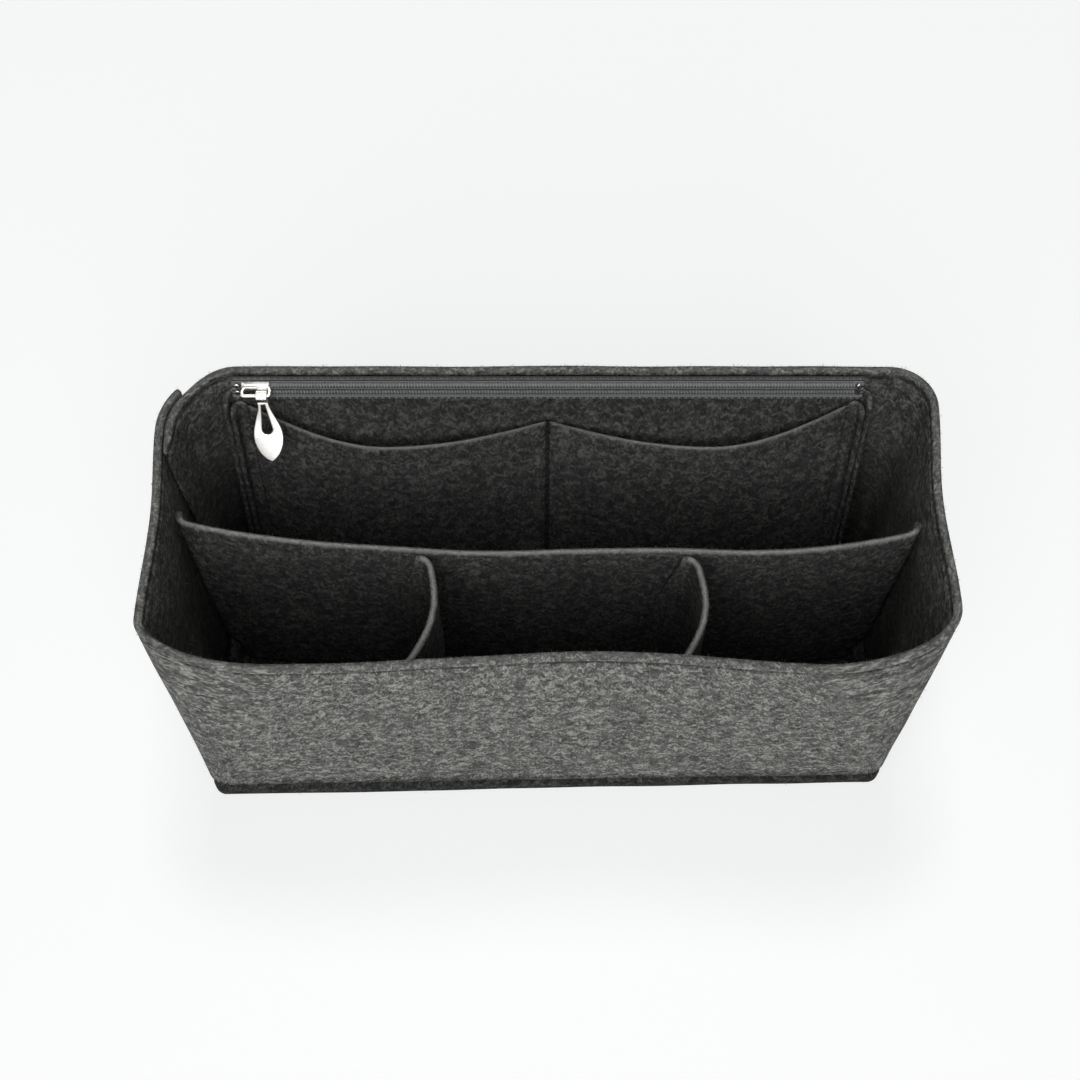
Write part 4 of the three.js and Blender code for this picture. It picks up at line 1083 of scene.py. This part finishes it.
# %% [markdown]
# ### Where the seams run
#
# Each row of stitches follows the line of its seam on the felt: round the rim and the hem, up the lap, up
# the divider tabs on the side walls, up the tabs of the cross dividers, up the slip pocket panel and along
# both tapes. The rim seam shows on the inside of the wall as well. The lines come from the functions that
# placed the felt, so the stitches always lie on it.

# %% Seam lines
SUNK = 0.12
TAPE_SEAM, END_MARGIN = 0.5, 0.5
SEAM_MARGIN, SEAM_STEPS = 4, 24


def rim_line(z, inset):
    return [wall_point(s, z, inset) for s in stations_between(1, wall_end)]


def upright(low, high, point_at):
    return [point_at(lerp(low, high, share)) for share in evenly(SEAM_STEPS)]


lap_station = STRETCHES + LAP_SHARE / 2
seam_top = DIVIDER_TOP - SEAM_MARGIN
tab_middle = (CROSS_TAB + DIVIDER_FOLD) / 2
cross_lift = DIVIDER - TAB_PRESS - SUNK
cross_top = pressed(0.5, DIVIDER_TOP, CROSS_TAB_DROP)[1] - SEAM_MARGIN


def slip_seam(x):
    """Up the front of the slip panel, where the seam pinches it."""
    height = slip_point(x, 1)[2] - LINING_BOTTOM
    low, high = SEAM_MARGIN / height, 1 - SEAM_MARGIN / height
    face = np.array([0, POCKET / 2 - SEAM_PINCH / 2, 0])
    return upright(low, high, lambda share: slip_point(x, share) - face)


def side_seam(side):
    """Up a side wall, over the middle of the long divider's tab."""
    def on_wall(z):
        y = divider_end(side, z) + DIVIDER_TAB / 2
        return wall_at("right", y, z, SUNK) * np.array([side, 1, 1])
    return upright(FLANGE_TOP, seam_top, on_wall)


def tape_seam(up):
    ends = (-TAPE_HALF + END_MARGIN, TAPE_HALF - END_MARGIN)
    return [zip_point(x, up, TAPE / 2) for x in np.linspace(*ends, 60)]


seam_lines = {
    "rim_seam": rim_line(RIM_SEAM, SEAM_PINCH),
    "hem_seam": rim_line(HEM_SEAM, SUNK),
    "lap_seam": upright(FLANGE_TOP, RIM_SEAM - SEAM_MARGIN, lambda z: wall_point(lap_station, z, SUNK)),
    "right_divider_seam": side_seam(1),
    "left_divider_seam": side_seam(-1),
    "left_panel_seam": slip_seam(-PANEL_SEAM_X),
    "right_panel_seam": slip_seam(PANEL_SEAM_X),
    "pocket_centre_seam": slip_seam(0),
    "zip_upper_seam": tape_seam(UPPER_EDGE - TAPE_SEAM),
    "zip_lower_seam": tape_seam(TAPE_SEAM - LOWER_EDGE),
}
for side, ends in CROSS_DIVIDERS.items():
    for end, x, sew in zip(("rear", "front"), ends, (cross_rear, cross_front)):
        seam_lines[f"{side}_cross_{end}_seam"] = upright(
            STEP_TOP, cross_top, lambda z: sew(x - tab_middle, z, cross_lift))
print("seams:", *seam_lines)

# %% Rows of stitches
# Pitch, length and thread of the stitches in felt and on the tapes.
FELT_STITCH, TAPE_STITCH = (3.3, 2.7, 0.62), (2.4, 2.0, 0.45)


def stitch_row(name, points):
    """A row of stitches along a line of points."""
    sizes = TAPE_STITCH if name.startswith("zip_") else FELT_STITCH
    pitch, length, thick = (size * MM for size in sizes)
    carrier = path_carrier(points)
    row = run_tree(stitch_tree, f"{name}_stitches", carrier, Pitch=pitch, Length=length, Thread=thick,
                   Material=thread)
    bpy.data.objects.remove(carrier)
    return row


seams = {name: stitch_row(name, points) for name, points in seam_lines.items()}
rim_inside = stitch_row("rim_seam_inside", rim_line(RIM_SEAM, WALL - SEAM_PINCH))
print("rows of stitches:", len(seams) + 1)

# %% [markdown]
# ## Zip coil
#
# The chain is nylon thread wound into two coils that lock into each other. From outside each turn shows as
# a small arch over the tape's edge. One arch, a bent tube, is repeated along each tape over a cord, and the
# two rows are half a turn apart. A true spiral would be closer to the real coil, but its lower half is
# hidden. Moulded nylon is smooth, with a faint gloss.

# %% Coil material
COIL_TONE = 2 * MM

nylon, tree = new_material("moulded_nylon_coil")
place = add_node(tree, "ShaderNodeTexCoord").outputs["Object"]
grain = add_node(tree, "ShaderNodeTexNoise", {"Vector": place, "Scale": 1 / COIL_TONE, "Detail": 2.0})
ramp = add_node(tree, "ShaderNodeValToRGB", {0: grain.outputs[0]})
ramp.color_ramp.elements[0].color = linear("#696b6b")
ramp.color_ramp.elements[1].color = linear("#959797")
surface = add_node(tree, "ShaderNodeBsdfPrincipled", {
    "Base Color": ramp.outputs[0], "Roughness": 0.6, "IOR": 1.53,
})
add_node(tree, "ShaderNodeOutputMaterial", {"Surface": surface.outputs[0]})
print("coil:", nylon.name)

# %% Coil tree
coil_tree, given = new_tree("zip_coil", Pitch="Float", Start="Vector", Peak="Vector", End="Vector",
                            Tube="Float", Cord="Vector", Thick="Float", Tilt="Vector", Material="Material")
line = add_node(coil_tree, "GeometryNodeMeshToCurve", {0: given["Carrier"]})
marks = add_node(coil_tree, "GeometryNodeResampleCurve", {
    "Curve": line.outputs[0], "Length": given["Pitch"],
}, mode="LENGTH")
arch = add_node(coil_tree, "GeometryNodeCurveQuadraticBezier", {
    "Resolution": 7, "Start": given["Start"], "Middle": given["Peak"], "End": given["End"],
})
section = add_node(coil_tree, "GeometryNodeCurvePrimitiveCircle", {"Resolution": 7, "Radius": given["Tube"]})
loop = add_node(coil_tree, "GeometryNodeCurveToMesh", {
    "Curve": arch.outputs[0], "Profile Curve": section.outputs[0], "Fill Caps": True,
})
copies = add_node(coil_tree, "GeometryNodeInstanceOnPoints", {
    "Points": marks.outputs[0], "Instance": loop.outputs[0], "Rotation": given["Tilt"],
})
round_cord = add_node(coil_tree, "GeometryNodeCurvePrimitiveCircle", {
    "Resolution": 8, "Radius": given["Thick"],
})
core = add_node(coil_tree, "GeometryNodeCurveToMesh", {
    "Curve": line.outputs[0], "Profile Curve": round_cord.outputs[0], "Fill Caps": True,
})
core = add_node(coil_tree, "GeometryNodeTransform", {
    "Geometry": core.outputs[0], "Translation": given["Cord"],
})
chain = add_node(coil_tree, "GeometryNodeJoinGeometry", {0: copies.outputs[0]})
coil_tree.links.new(core.outputs[0], chain.inputs[0])
end_tree(coil_tree, chain.outputs[0], given["Material"])
print("coil tree has", len(coil_tree.nodes), "nodes")

# %% Coils
COIL_PITCH, COIL_TUBE = 1.1, 0.4
# Three points of an arch and the middle of the cord, in millimetres from the zip's middle line.
ARCH = {"Start": (0, -0.62, 2.2), "Peak": (0.3, -2.75, 1.9), "End": (0, -1.35, 0.66)}
CORD_UP, CORD_OUT, CORD_THICK = 1.55, 1.05, 0.62
CHAIN_END = 7
CHAIN_HALF = RIM_LENGTH / 2 - PANEL_MARGIN - CHAIN_END


def coil_piece(name, side, shift):
    """The coil on the upper tape, side 1, or on the lower one, side -1."""
    ends = (-CHAIN_HALF + END_MARGIN + shift, CHAIN_HALF - END_MARGIN)
    carrier = path_carrier([zip_point(x, 0, 0) for x in ends])
    points = {key: (x * MM, y * MM, side * z * MM) for key, (x, y, z) in ARCH.items()}
    cord = tuple((side * CORD_UP * UP_TAPE + CORD_OUT * OUT_OF_TAPE) * MM)
    coil = run_tree(coil_tree, name, carrier, Pitch=COIL_PITCH * MM, Tube=COIL_TUBE * MM, Cord=cord,
                    Thick=CORD_THICK * MM, Tilt=(-ZIP_TILT, 0, 0), Material=nylon, **points)
    bpy.data.objects.remove(carrier)
    return coil


upper_coil = coil_piece("upper_coil", 1, 0)
lower_coil = coil_piece("lower_coil", -1, COIL_PITCH / 2)
print("coil turns on each tape:", round(2 * (CHAIN_HALF - END_MARGIN) / COIL_PITCH))

# %% [markdown]
# ## Slider, puller and stops
#
# These are small nickel-plated castings and stampings with rounded edges. Each is a flat outline with a
# thickness, so a filled two-dimensional curve with a bevel makes it, and the parts of one casting are then
# united into a single skin. Nickel is a bright, faintly warm metal, and fine scratches blur its shine.

# %% Nickel
SCRATCH, GLOSS = 0.6 * MM, (0.16, 0.34)

nickel, tree = new_material("nickel_plated_zinc")
place = add_node(tree, "ShaderNodeTexCoord").outputs["Object"]
wear = add_node(tree, "ShaderNodeTexNoise", {"Vector": place, "Scale": 1 / SCRATCH, "Detail": 4.0})
gloss = add_node(tree, "ShaderNodeMapRange", {
    "Value": wear.outputs[0], "To Min": GLOSS[0], "To Max": GLOSS[1],
})
bump = add_node(tree, "ShaderNodeBump", {"Height": wear.outputs[0], "Distance": 0.02 * MM, "Strength": 0.4})
surface = add_node(tree, "ShaderNodeBsdfPrincipled", {
    "Base Color": linear("#ebe9e5"), "Metallic": 1.0, "Roughness": gloss.outputs[0],
    "Normal": bump.outputs[0],
})
add_node(tree, "ShaderNodeOutputMaterial", {"Surface": surface.outputs[0]})
print("metal:", nickel.name)


# %% Helpers for stampings
WELD = 0.002 * MM
SHARP_ANGLE = math.radians(40)


def stamping(outlines, thickness, rounding, place_point):
    """A flat outline with its holes, in millimetres, as a rounded plate. place_point says where each of its
    points goes."""
    curve = bpy.data.curves.new("outline", "CURVE")
    curve.dimensions, curve.fill_mode = "2D", "BOTH"
    curve.extrude = thickness / 2 - rounding
    curve.bevel_depth, curve.bevel_resolution, curve.offset = rounding, 2, -rounding
    for outline in outlines:
        spline = curve.splines.new("POLY")
        spline.points.add(len(outline) - 1)
        for point, (x, y) in zip(spline.points, outline):
            point.co = (x, y, 0, 1)
        spline.use_cyclic_u = True
    carrier = add_object("outline", curve)
    mesh = bpy.data.meshes.new_from_object(carrier.evaluated_get(bpy.context.evaluated_depsgraph_get()))
    bpy.data.objects.remove(carrier)
    skin = bmesh.new()
    skin.from_mesh(mesh)
    for vertex in skin.verts:
        vertex.co = Vector(place_point(*vertex.co) * MM)
    bmesh.ops.remove_doubles(skin, verts=skin.verts, dist=WELD)
    bmesh.ops.recalc_face_normals(skin, faces=skin.faces)
    skin.to_mesh(mesh)
    skin.free()
    return mesh


def metal_piece(name, meshes):
    """The meshes united into one skin of nickel."""
    piece = add_object(name, meshes[0])
    others = []
    for mesh in meshes[1:]:
        other = add_object("part", mesh)
        unite = piece.modifiers.new("unite", "BOOLEAN")
        unite.operation, unite.object, unite.solver = "UNION", other, "EXACT"
        others.append(other)
    if others:
        united = piece.evaluated_get(bpy.context.evaluated_depsgraph_get())
        piece.data = bpy.data.meshes.new_from_object(united)
        piece.modifiers.clear()
    for other in others:
        bpy.data.objects.remove(other)
    piece.data.name = name
    piece.data.materials.clear()
    piece.data.materials.append(nickel)
    piece.data.shade_smooth()
    piece.data.set_sharp_from_angle(angle=SHARP_ANGLE)
    return piece


def arc(x, y, radius, start, end, steps=24):
    angles = [math.radians(lerp(start, end, share)) for share in evenly(steps)]
    return [(x + radius * math.cos(a), y + radius * math.sin(a)) for a in angles]


def bezier(a, b, c, d, steps=16):
    shares = evenly(steps)[:-1]
    points = np.array([a, b, c, d], float)
    weights = [[(1 - t) ** 3, 3 * t * (1 - t) ** 2, 3 * t * t * (1 - t), t ** 3] for t in shares]
    return [tuple(point) for point in np.array(weights) @ points]


# %% [markdown]
# ### Slider
#
# Two plates hold the chain between them, joined by a neck. The front plate is wider at the left, where the
# two coils come in apart, and lips along both sides keep them together. A long bridge on top carries the
# puller, whose eye can slide along it. Boxes with a bevel would do for the lips, but not for the curved
# plates, so all of them are stampings.

# %% Slider
SLIDER_HALF, COVER, COVER_ROUND = 5.75, 0.8, 0.28
WIDE, WIDE_X, NARROW, NARROW_X = 3.5, -2.6, 2.95, 4.4
REAR_SHARE = 0.7
LIP_ENDS, LIP_SIDES, LIP_ROUND = (-5.0, 4.9), ((2.87, 3.45), (-3.45, -2.87)), 0.15
LIP_DEPTH, LIP_OUT = PLATE_OVER - 0.9, (PLATE_OVER + 0.6) / 2 - 0.05
NECK_ENDS, NECK_SIDES, NECK_ROUND = (-4.6, 2.0), (-0.22, 0.22), 0.05
NECK_DEPTH, NECK_OUT = PLATE_UNDER + 1.4, PLATE_UNDER / 2 - 0.2
WINDOW, LEG, BAR, BRIDGE_WIDTH = 4.5, 1.1, 1.4, 1.6
BRIDGE_CORNER, WINDOW_CORNER, BRIDGE_ROUND = 1.3, 0.5, 0.35
BRIDGE_FOOT, WINDOW_FOOT = PLATE_OVER - 0.4, PLATE_OVER - 0.2
BRIDGE_TOP = PIVOT_OUT + BAR / 2

shield = [
    *bezier((-SLIDER_HALF, 0), (-SLIDER_HALF, 2.4), (-SLIDER_HALF + 0.6, WIDE), (WIDE_X, WIDE)),
    *bezier((WIDE_X, WIDE), (-0.5, WIDE), (2.0, NARROW), (NARROW_X, NARROW)),
    *bezier((NARROW_X, NARROW), (5.3, NARROW), (SLIDER_HALF, 1.8), (SLIDER_HALF, 0)),
]
shield += [(x, -y) for x, y in shield[:0:-1]]
rear_shield = [(x, y * REAR_SHARE) for x, y in shield]


def on_zip(out):
    """Places a plate flat on the chain, at a distance out from the tapes."""
    return lambda x, y, z: zip_point(slider_x + x, y, out + z)


def bar(low_x, high_x, low_y, high_y):
    return [(low_x, low_y), (high_x, low_y), (high_x, high_y), (low_x, high_y)]


corner_top, window_top = BRIDGE_TOP - BRIDGE_CORNER, BRIDGE_TOP - BAR - WINDOW_CORNER
bridge_outline = [(-WINDOW - LEG, BRIDGE_FOOT), (WINDOW + LEG, BRIDGE_FOOT)]
bridge_outline += arc(WINDOW + LEG - BRIDGE_CORNER, corner_top, BRIDGE_CORNER, 0, 90, 8)
bridge_outline += arc(-WINDOW - LEG + BRIDGE_CORNER, corner_top, BRIDGE_CORNER, 90, 180, 8)
bridge_window = [(-WINDOW, WINDOW_FOOT), *arc(-WINDOW + WINDOW_CORNER, window_top, WINDOW_CORNER, 180, 90, 6)]
bridge_window += [*arc(WINDOW - WINDOW_CORNER, window_top, WINDOW_CORNER, 90, 0, 6), (WINDOW, WINDOW_FOOT)]
slider = metal_piece("slider_casting", [
    stamping([shield], COVER, COVER_ROUND, on_zip((PLATE_UNDER + PLATE_OVER) / 2)),
    stamping([rear_shield], COVER, COVER_ROUND, on_zip(-TAPE / 2 - SEAT - COVER / 2)),
    *[stamping([bar(*LIP_ENDS, *sides)], LIP_DEPTH, LIP_ROUND, on_zip(LIP_OUT)) for sides in LIP_SIDES],
    stamping([bar(*NECK_ENDS, *NECK_SIDES)], NECK_DEPTH, NECK_ROUND, on_zip(NECK_OUT)),
    stamping([bridge_outline, bridge_window], BRIDGE_WIDTH, BRIDGE_ROUND,
             lambda x, y, z: zip_point(slider_x + x, z, y)),
])
print("slider faces:", len(slider.data.polygons))

# %% [markdown]
# ### Puller and stops
#
# The puller is a pointed, slightly dished drop with a tapered slot, and its eye wraps the bridge. It lies a
# little turned, as in the photograph. Small clamped blocks end the chain: one on each coil where the zip
# closes, and one across both where it opens.

# %% Puller
PULL_LENGTH, PULL_HALF, PULL_TIP, PULL_THICK = 25, 5.5, 9.5, 1.6
PULL_REST, PULL_SWIVEL, PULL_DISH = math.radians(16), math.radians(6), 0.0045
NECK_HALF, NECK_OVERLAP = 2.0, 0.4
TIP_FULL, TIP_SIDE, TIP_RISE = 4.4, 3.0, 1.1
SLOT_GAP, SLOT_LENGTH, SLOT_RADIUS, SLOT_NARROW = 0.9, 11.5, 1.9, 0.5
PULL_ROUND, EYE_ROUND = 0.45, 0.25

pull_top, pull_wide = -(BORE + NECK_OVERLAP), PULL_TIP - PULL_LENGTH
shoulder, swell = lerp(pull_top, pull_wide, 0.35), lerp(pull_wide, pull_top, 0.35)
drop_side = [
    (NECK_HALF, pull_top),
    *bezier((NECK_HALF, pull_top), (NECK_HALF, shoulder), (PULL_HALF, swell), (PULL_HALF, pull_wide))[1:],
    *bezier((PULL_HALF, pull_wide), (PULL_HALF, pull_wide - TIP_FULL), (TIP_SIDE, TIP_RISE - PULL_LENGTH),
            (0, -PULL_LENGTH)),
]
drop = [*drop_side, (0, -PULL_LENGTH), *[(-x, y) for x, y in drop_side[::-1]]]
slot_top = -(EYE + SLOT_GAP)
slot_round = slot_top - SLOT_LENGTH + SLOT_RADIUS
pull_slot = [(SLOT_NARROW, slot_top), (-SLOT_NARROW, slot_top)]
pull_slot += arc(0, slot_round, SLOT_RADIUS, 180, 360, 16)
eye_rings = [arc(0, 0, EYE, 0, 360)[:-1], arc(0, 0, BORE, 0, 360)[:-1]]


def on_puller(x, y, z):
    """From the drop's own plane, lifted and swivelled about the eye, to the model."""
    z += PULL_DISH * y * y
    aside = x * math.cos(PULL_SWIVEL) - y * math.sin(PULL_SWIVEL)
    ahead = x * math.sin(PULL_SWIVEL) + y * math.cos(PULL_SWIVEL)
    up = ahead * math.cos(PULL_REST) + z * math.sin(PULL_REST)
    out = z * math.cos(PULL_REST) - ahead * math.sin(PULL_REST)
    return zip_point(pull_x + aside, up, PIVOT_OUT + out)


puller = metal_piece("puller_drop", [
    stamping([drop, pull_slot], PULL_THICK, PULL_ROUND, on_puller),
    stamping(eye_rings, 2 * NECK_HALF, EYE_ROUND, lambda x, y, z: zip_point(pull_x + z, x, PIVOT_OUT + y)),
])
print("puller faces:", len(puller.data.polygons))

# %% Stops
STOP_HALF, STOP_OUT, STOP_THICK, STOP_ROUND = 1, 0.8, 1.5, 0.3
STOP_CIRCLE, STOP_SQUASH = 1.18, 0.85


def stop_piece(name, end, low, high):
    """A clamp at one end of the chain: a circle drawn out from low to high across the coils."""
    middle, out = end * (CHAIN_HALF + SEAT + STOP_HALF), (TAPE / 2 + SEAT) + STOP_OUT
    outline = []
    for x, y in arc(0, 0, STOP_CIRCLE, 0, 360, 20)[:-1]:
        share = min(max(y / (2 * STOP_CIRCLE) + 0.5, 0), 1)
        outline.append((max(-STOP_HALF, min(STOP_HALF, x * STOP_SQUASH)), lerp(low, high, share)))
    plate = stamping([outline], STOP_THICK, STOP_ROUND, lambda x, y, z: zip_point(middle + x, y, out + z))
    return metal_piece(name, [plate])


stops = {
    "zip_upper_closing_stop": stop_piece("upper_closing_stop_clamp", -1, SLOT_HALF, COIL_EDGE),
    "zip_lower_closing_stop": stop_piece("lower_closing_stop_clamp", -1, -COIL_EDGE, -SLOT_HALF),
    "zip_opening_stop": stop_piece("opening_stop_clamp", 1, -COIL_EDGE, COIL_EDGE),
}
print("stops:", *stops)

# %% [markdown]
# ## Loose fibres
#
# Felt has no smooth edge: fibre ends stand up from it, most of all along cuts. A tree scatters short bent
# fibres over a felt piece, thick along the cut edges and thin elsewhere, with a fixed seed. They are as matt
# as the felt, and light or dark as its strands. A hair system could grow them, but a tree gives the plain
# mesh that is needed. Real fibres are too thin to see here, so these are drawn a few times thicker.

# %% Fibre material
FIBRE_TONE = 1.5 * MM

fibre_grey, tree = new_material("loose_felt_fibre")
place = add_node(tree, "ShaderNodeTexCoord").outputs["Object"]
tone = add_node(tree, "ShaderNodeTexNoise", {"Vector": place, "Scale": 1 / FIBRE_TONE, "Detail": 1.0})
ramp = add_node(tree, "ShaderNodeValToRGB", {0: tone.outputs[0]})
ramp.color_ramp.elements[0].position = 0.3
ramp.color_ramp.elements[0].color = linear("#3c3c3b")
ramp.color_ramp.elements[1].position = 0.7
ramp.color_ramp.elements[1].color = linear("#8d8d89")
surface = add_node(tree, "ShaderNodeBsdfPrincipled", {
    "Base Color": ramp.outputs[0], "Roughness": 0.9, "Specular IOR Level": 0.15,
})
add_node(tree, "ShaderNodeOutputMaterial", {"Surface": surface.outputs[0]})
print("fibres:", fibre_grey.name)

# %% Fibre tree
FIBRE_BEND = ((0, 0, -0.0002), (0.0001, 0, 0.0005), (0.0006, 0, 0.0008))
FIBRE_LEAN = ((-0.9, -0.9, 0), (0.9, 0.9, 6.28))
FIBRE_GROWTH = (0.45, 1.25)

fuzz_tree, given = new_tree("felt_fuzz", Face="Float", Edge="Float", Fibre="Float", Seed="Int",
                            Material="Material")
cut_edge = add_node(fuzz_tree, "GeometryNodeInputNamedAttribute", {"Name": "cut"}, data_type="FLOAT")
thick = add_node(fuzz_tree, "ShaderNodeMath", {
    0: shown(cut_edge.outputs)[0], 1: given["Edge"], 2: given["Face"],
}, operation="MULTIPLY_ADD")
scatter = add_node(fuzz_tree, "GeometryNodeDistributePointsOnFaces", {
    "Mesh": given["Carrier"], "Density": thick.outputs[0], "Seed": given["Seed"],
})
bend = add_node(fuzz_tree, "GeometryNodeCurveQuadraticBezier", {
    "Resolution": 2, "Start": FIBRE_BEND[0], "Middle": FIBRE_BEND[1], "End": FIBRE_BEND[2],
})
hair = add_node(fuzz_tree, "GeometryNodeCurvePrimitiveCircle", {"Resolution": 3, "Radius": given["Fibre"]})
fibre = add_node(fuzz_tree, "GeometryNodeCurveToMesh", {
    "Curve": bend.outputs[0], "Profile Curve": hair.outputs[0], "Fill Caps": True,
})
lean = add_node(fuzz_tree, "FunctionNodeRandomValue", data_type="FLOAT_VECTOR")
lean.inputs[0].default_value, lean.inputs[1].default_value = FIBRE_LEAN
fuzz_turn = add_node(fuzz_tree, "FunctionNodeEulerToRotation", {0: lean.outputs[0]})
spin = add_node(fuzz_tree, "FunctionNodeRotateRotation", {
    "Rotation": scatter.outputs["Rotation"], "Rotate By": fuzz_turn.outputs[0],
}, rotation_space="LOCAL")
grow = add_node(fuzz_tree, "FunctionNodeRandomValue", data_type="FLOAT")
for socket, share in zip(shown(grow.inputs), FIBRE_GROWTH):
    socket.default_value = share
copies = add_node(fuzz_tree, "GeometryNodeInstanceOnPoints", {
    "Points": scatter.outputs["Points"], "Instance": fibre.outputs[0], "Rotation": spin.outputs[0],
    "Scale": shown(grow.outputs)[0],
})
end_tree(fuzz_tree, copies.outputs[0], given["Material"])
print("fibre tree has", len(fuzz_tree.nodes), "nodes")

# %% Fibres on the felt
FACE_FIBRES, EDGE_FIBRES, FIBRE_RADIUS = 2.0e4, 2.2e6, 0.045 * MM

felt_pieces = {
    "outer_band": wall,
    "long_divider": long_divider,
    "left_cross_divider": cross_dividers["left"],
    "right_cross_divider": cross_dividers["right"],
    "zip_pocket_panel": zip_panel,
    "slip_pocket_panel": slip_panel,
}
fuzz = {}
for seed, (node, piece) in enumerate(felt_pieces.items()):
    fuzz[node] = run_tree(
        fuzz_tree, f"{piece.name}_fuzz", piece, Seed=seed, Fibre=FIBRE_RADIUS, Material=fibre_grey,
        Face=FACE_FIBRES if node == "outer_band" else FACE_FIBRES / 2, Edge=EDGE_FIBRES,
    )
    print(fuzz[node].name, "has", len(fuzz[node].data.polygons), "faces")

# %% [markdown]
# ## Put each piece on its body
#
# Every piece rides on a body of the model, and stands for the bare solid that it covers, which is hidden.
# The flat sizes that the felt pieces were cut to are printed: along the rows for the length, and up the
# felt for the width.


# %% Ride and replace
FLOOR_LEVEL, FLANGE_CUT = 5, 18


def dress(piece, body, node):
    """Puts the piece on the body that carries it, and hides the node that it stands for, if any."""
    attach(piece, body)
    if node:
        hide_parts(node)


def flat_cut(rows):
    """A sheet's flat size in metres: the mean height across its rows and the mean length along them."""
    grid = np.array(rows)
    length = np.linalg.norm(np.diff(grid, axis=1), axis=2).sum(axis=1).mean()
    height = np.linalg.norm(np.diff(grid, axis=0), axis=2).sum(axis=0).mean()
    return float(height * MM), float(length * MM)


sheet_rows = {
    "outer_band": (wall_rows, "wall_felt", ["base_panel"]),
    "long_divider": (divider_rows, "lining_felt", ["outer_band"]),
    "left_cross_divider": (cross_rows["left"], "lining_felt", ["outer_band", "long_divider"]),
    "right_cross_divider": (cross_rows["right"], "lining_felt", ["outer_band", "long_divider"]),
    "zip_pocket_panel": (panel_rows, "lining_felt", ["zip_lower_tape", "base_panel"]),
    "slip_pocket_panel": (slip_rows, "lining_felt", ["zip_pocket_panel"]),
}
for node, (rows, slot, carriers) in sheet_rows.items():
    dress(felt_pieces[node], "organizer", node)
    dress(fuzz[node], "organizer", None)
    print(node, "cut in mm:", [round(side / MM) for side in flat_cut(rows)])
dress(base, "organizer", "base_panel")
base_cut = [2 * (half(FLOOR_LEVEL) - TRAY_FACE) + FLANGE_CUT for half in (half_depth, half_length)]
dress(upper_tape, "organizer", "zip_upper_tape")
dress(lower_tape, "organizer", "zip_lower_tape")
dress(upper_coil, "organizer", "zip_upper_coil")
dress(lower_coil, "organizer", "zip_lower_coil")
for node, piece in stops.items():
    dress(piece, "organizer", node)
for name, row in seams.items():
    dress(row, "organizer", f"{name}_thread")
dress(rim_inside, "organizer", None)
dress(slider, "slider", "zip_slider")
dress(puller, "puller", "zip_puller")
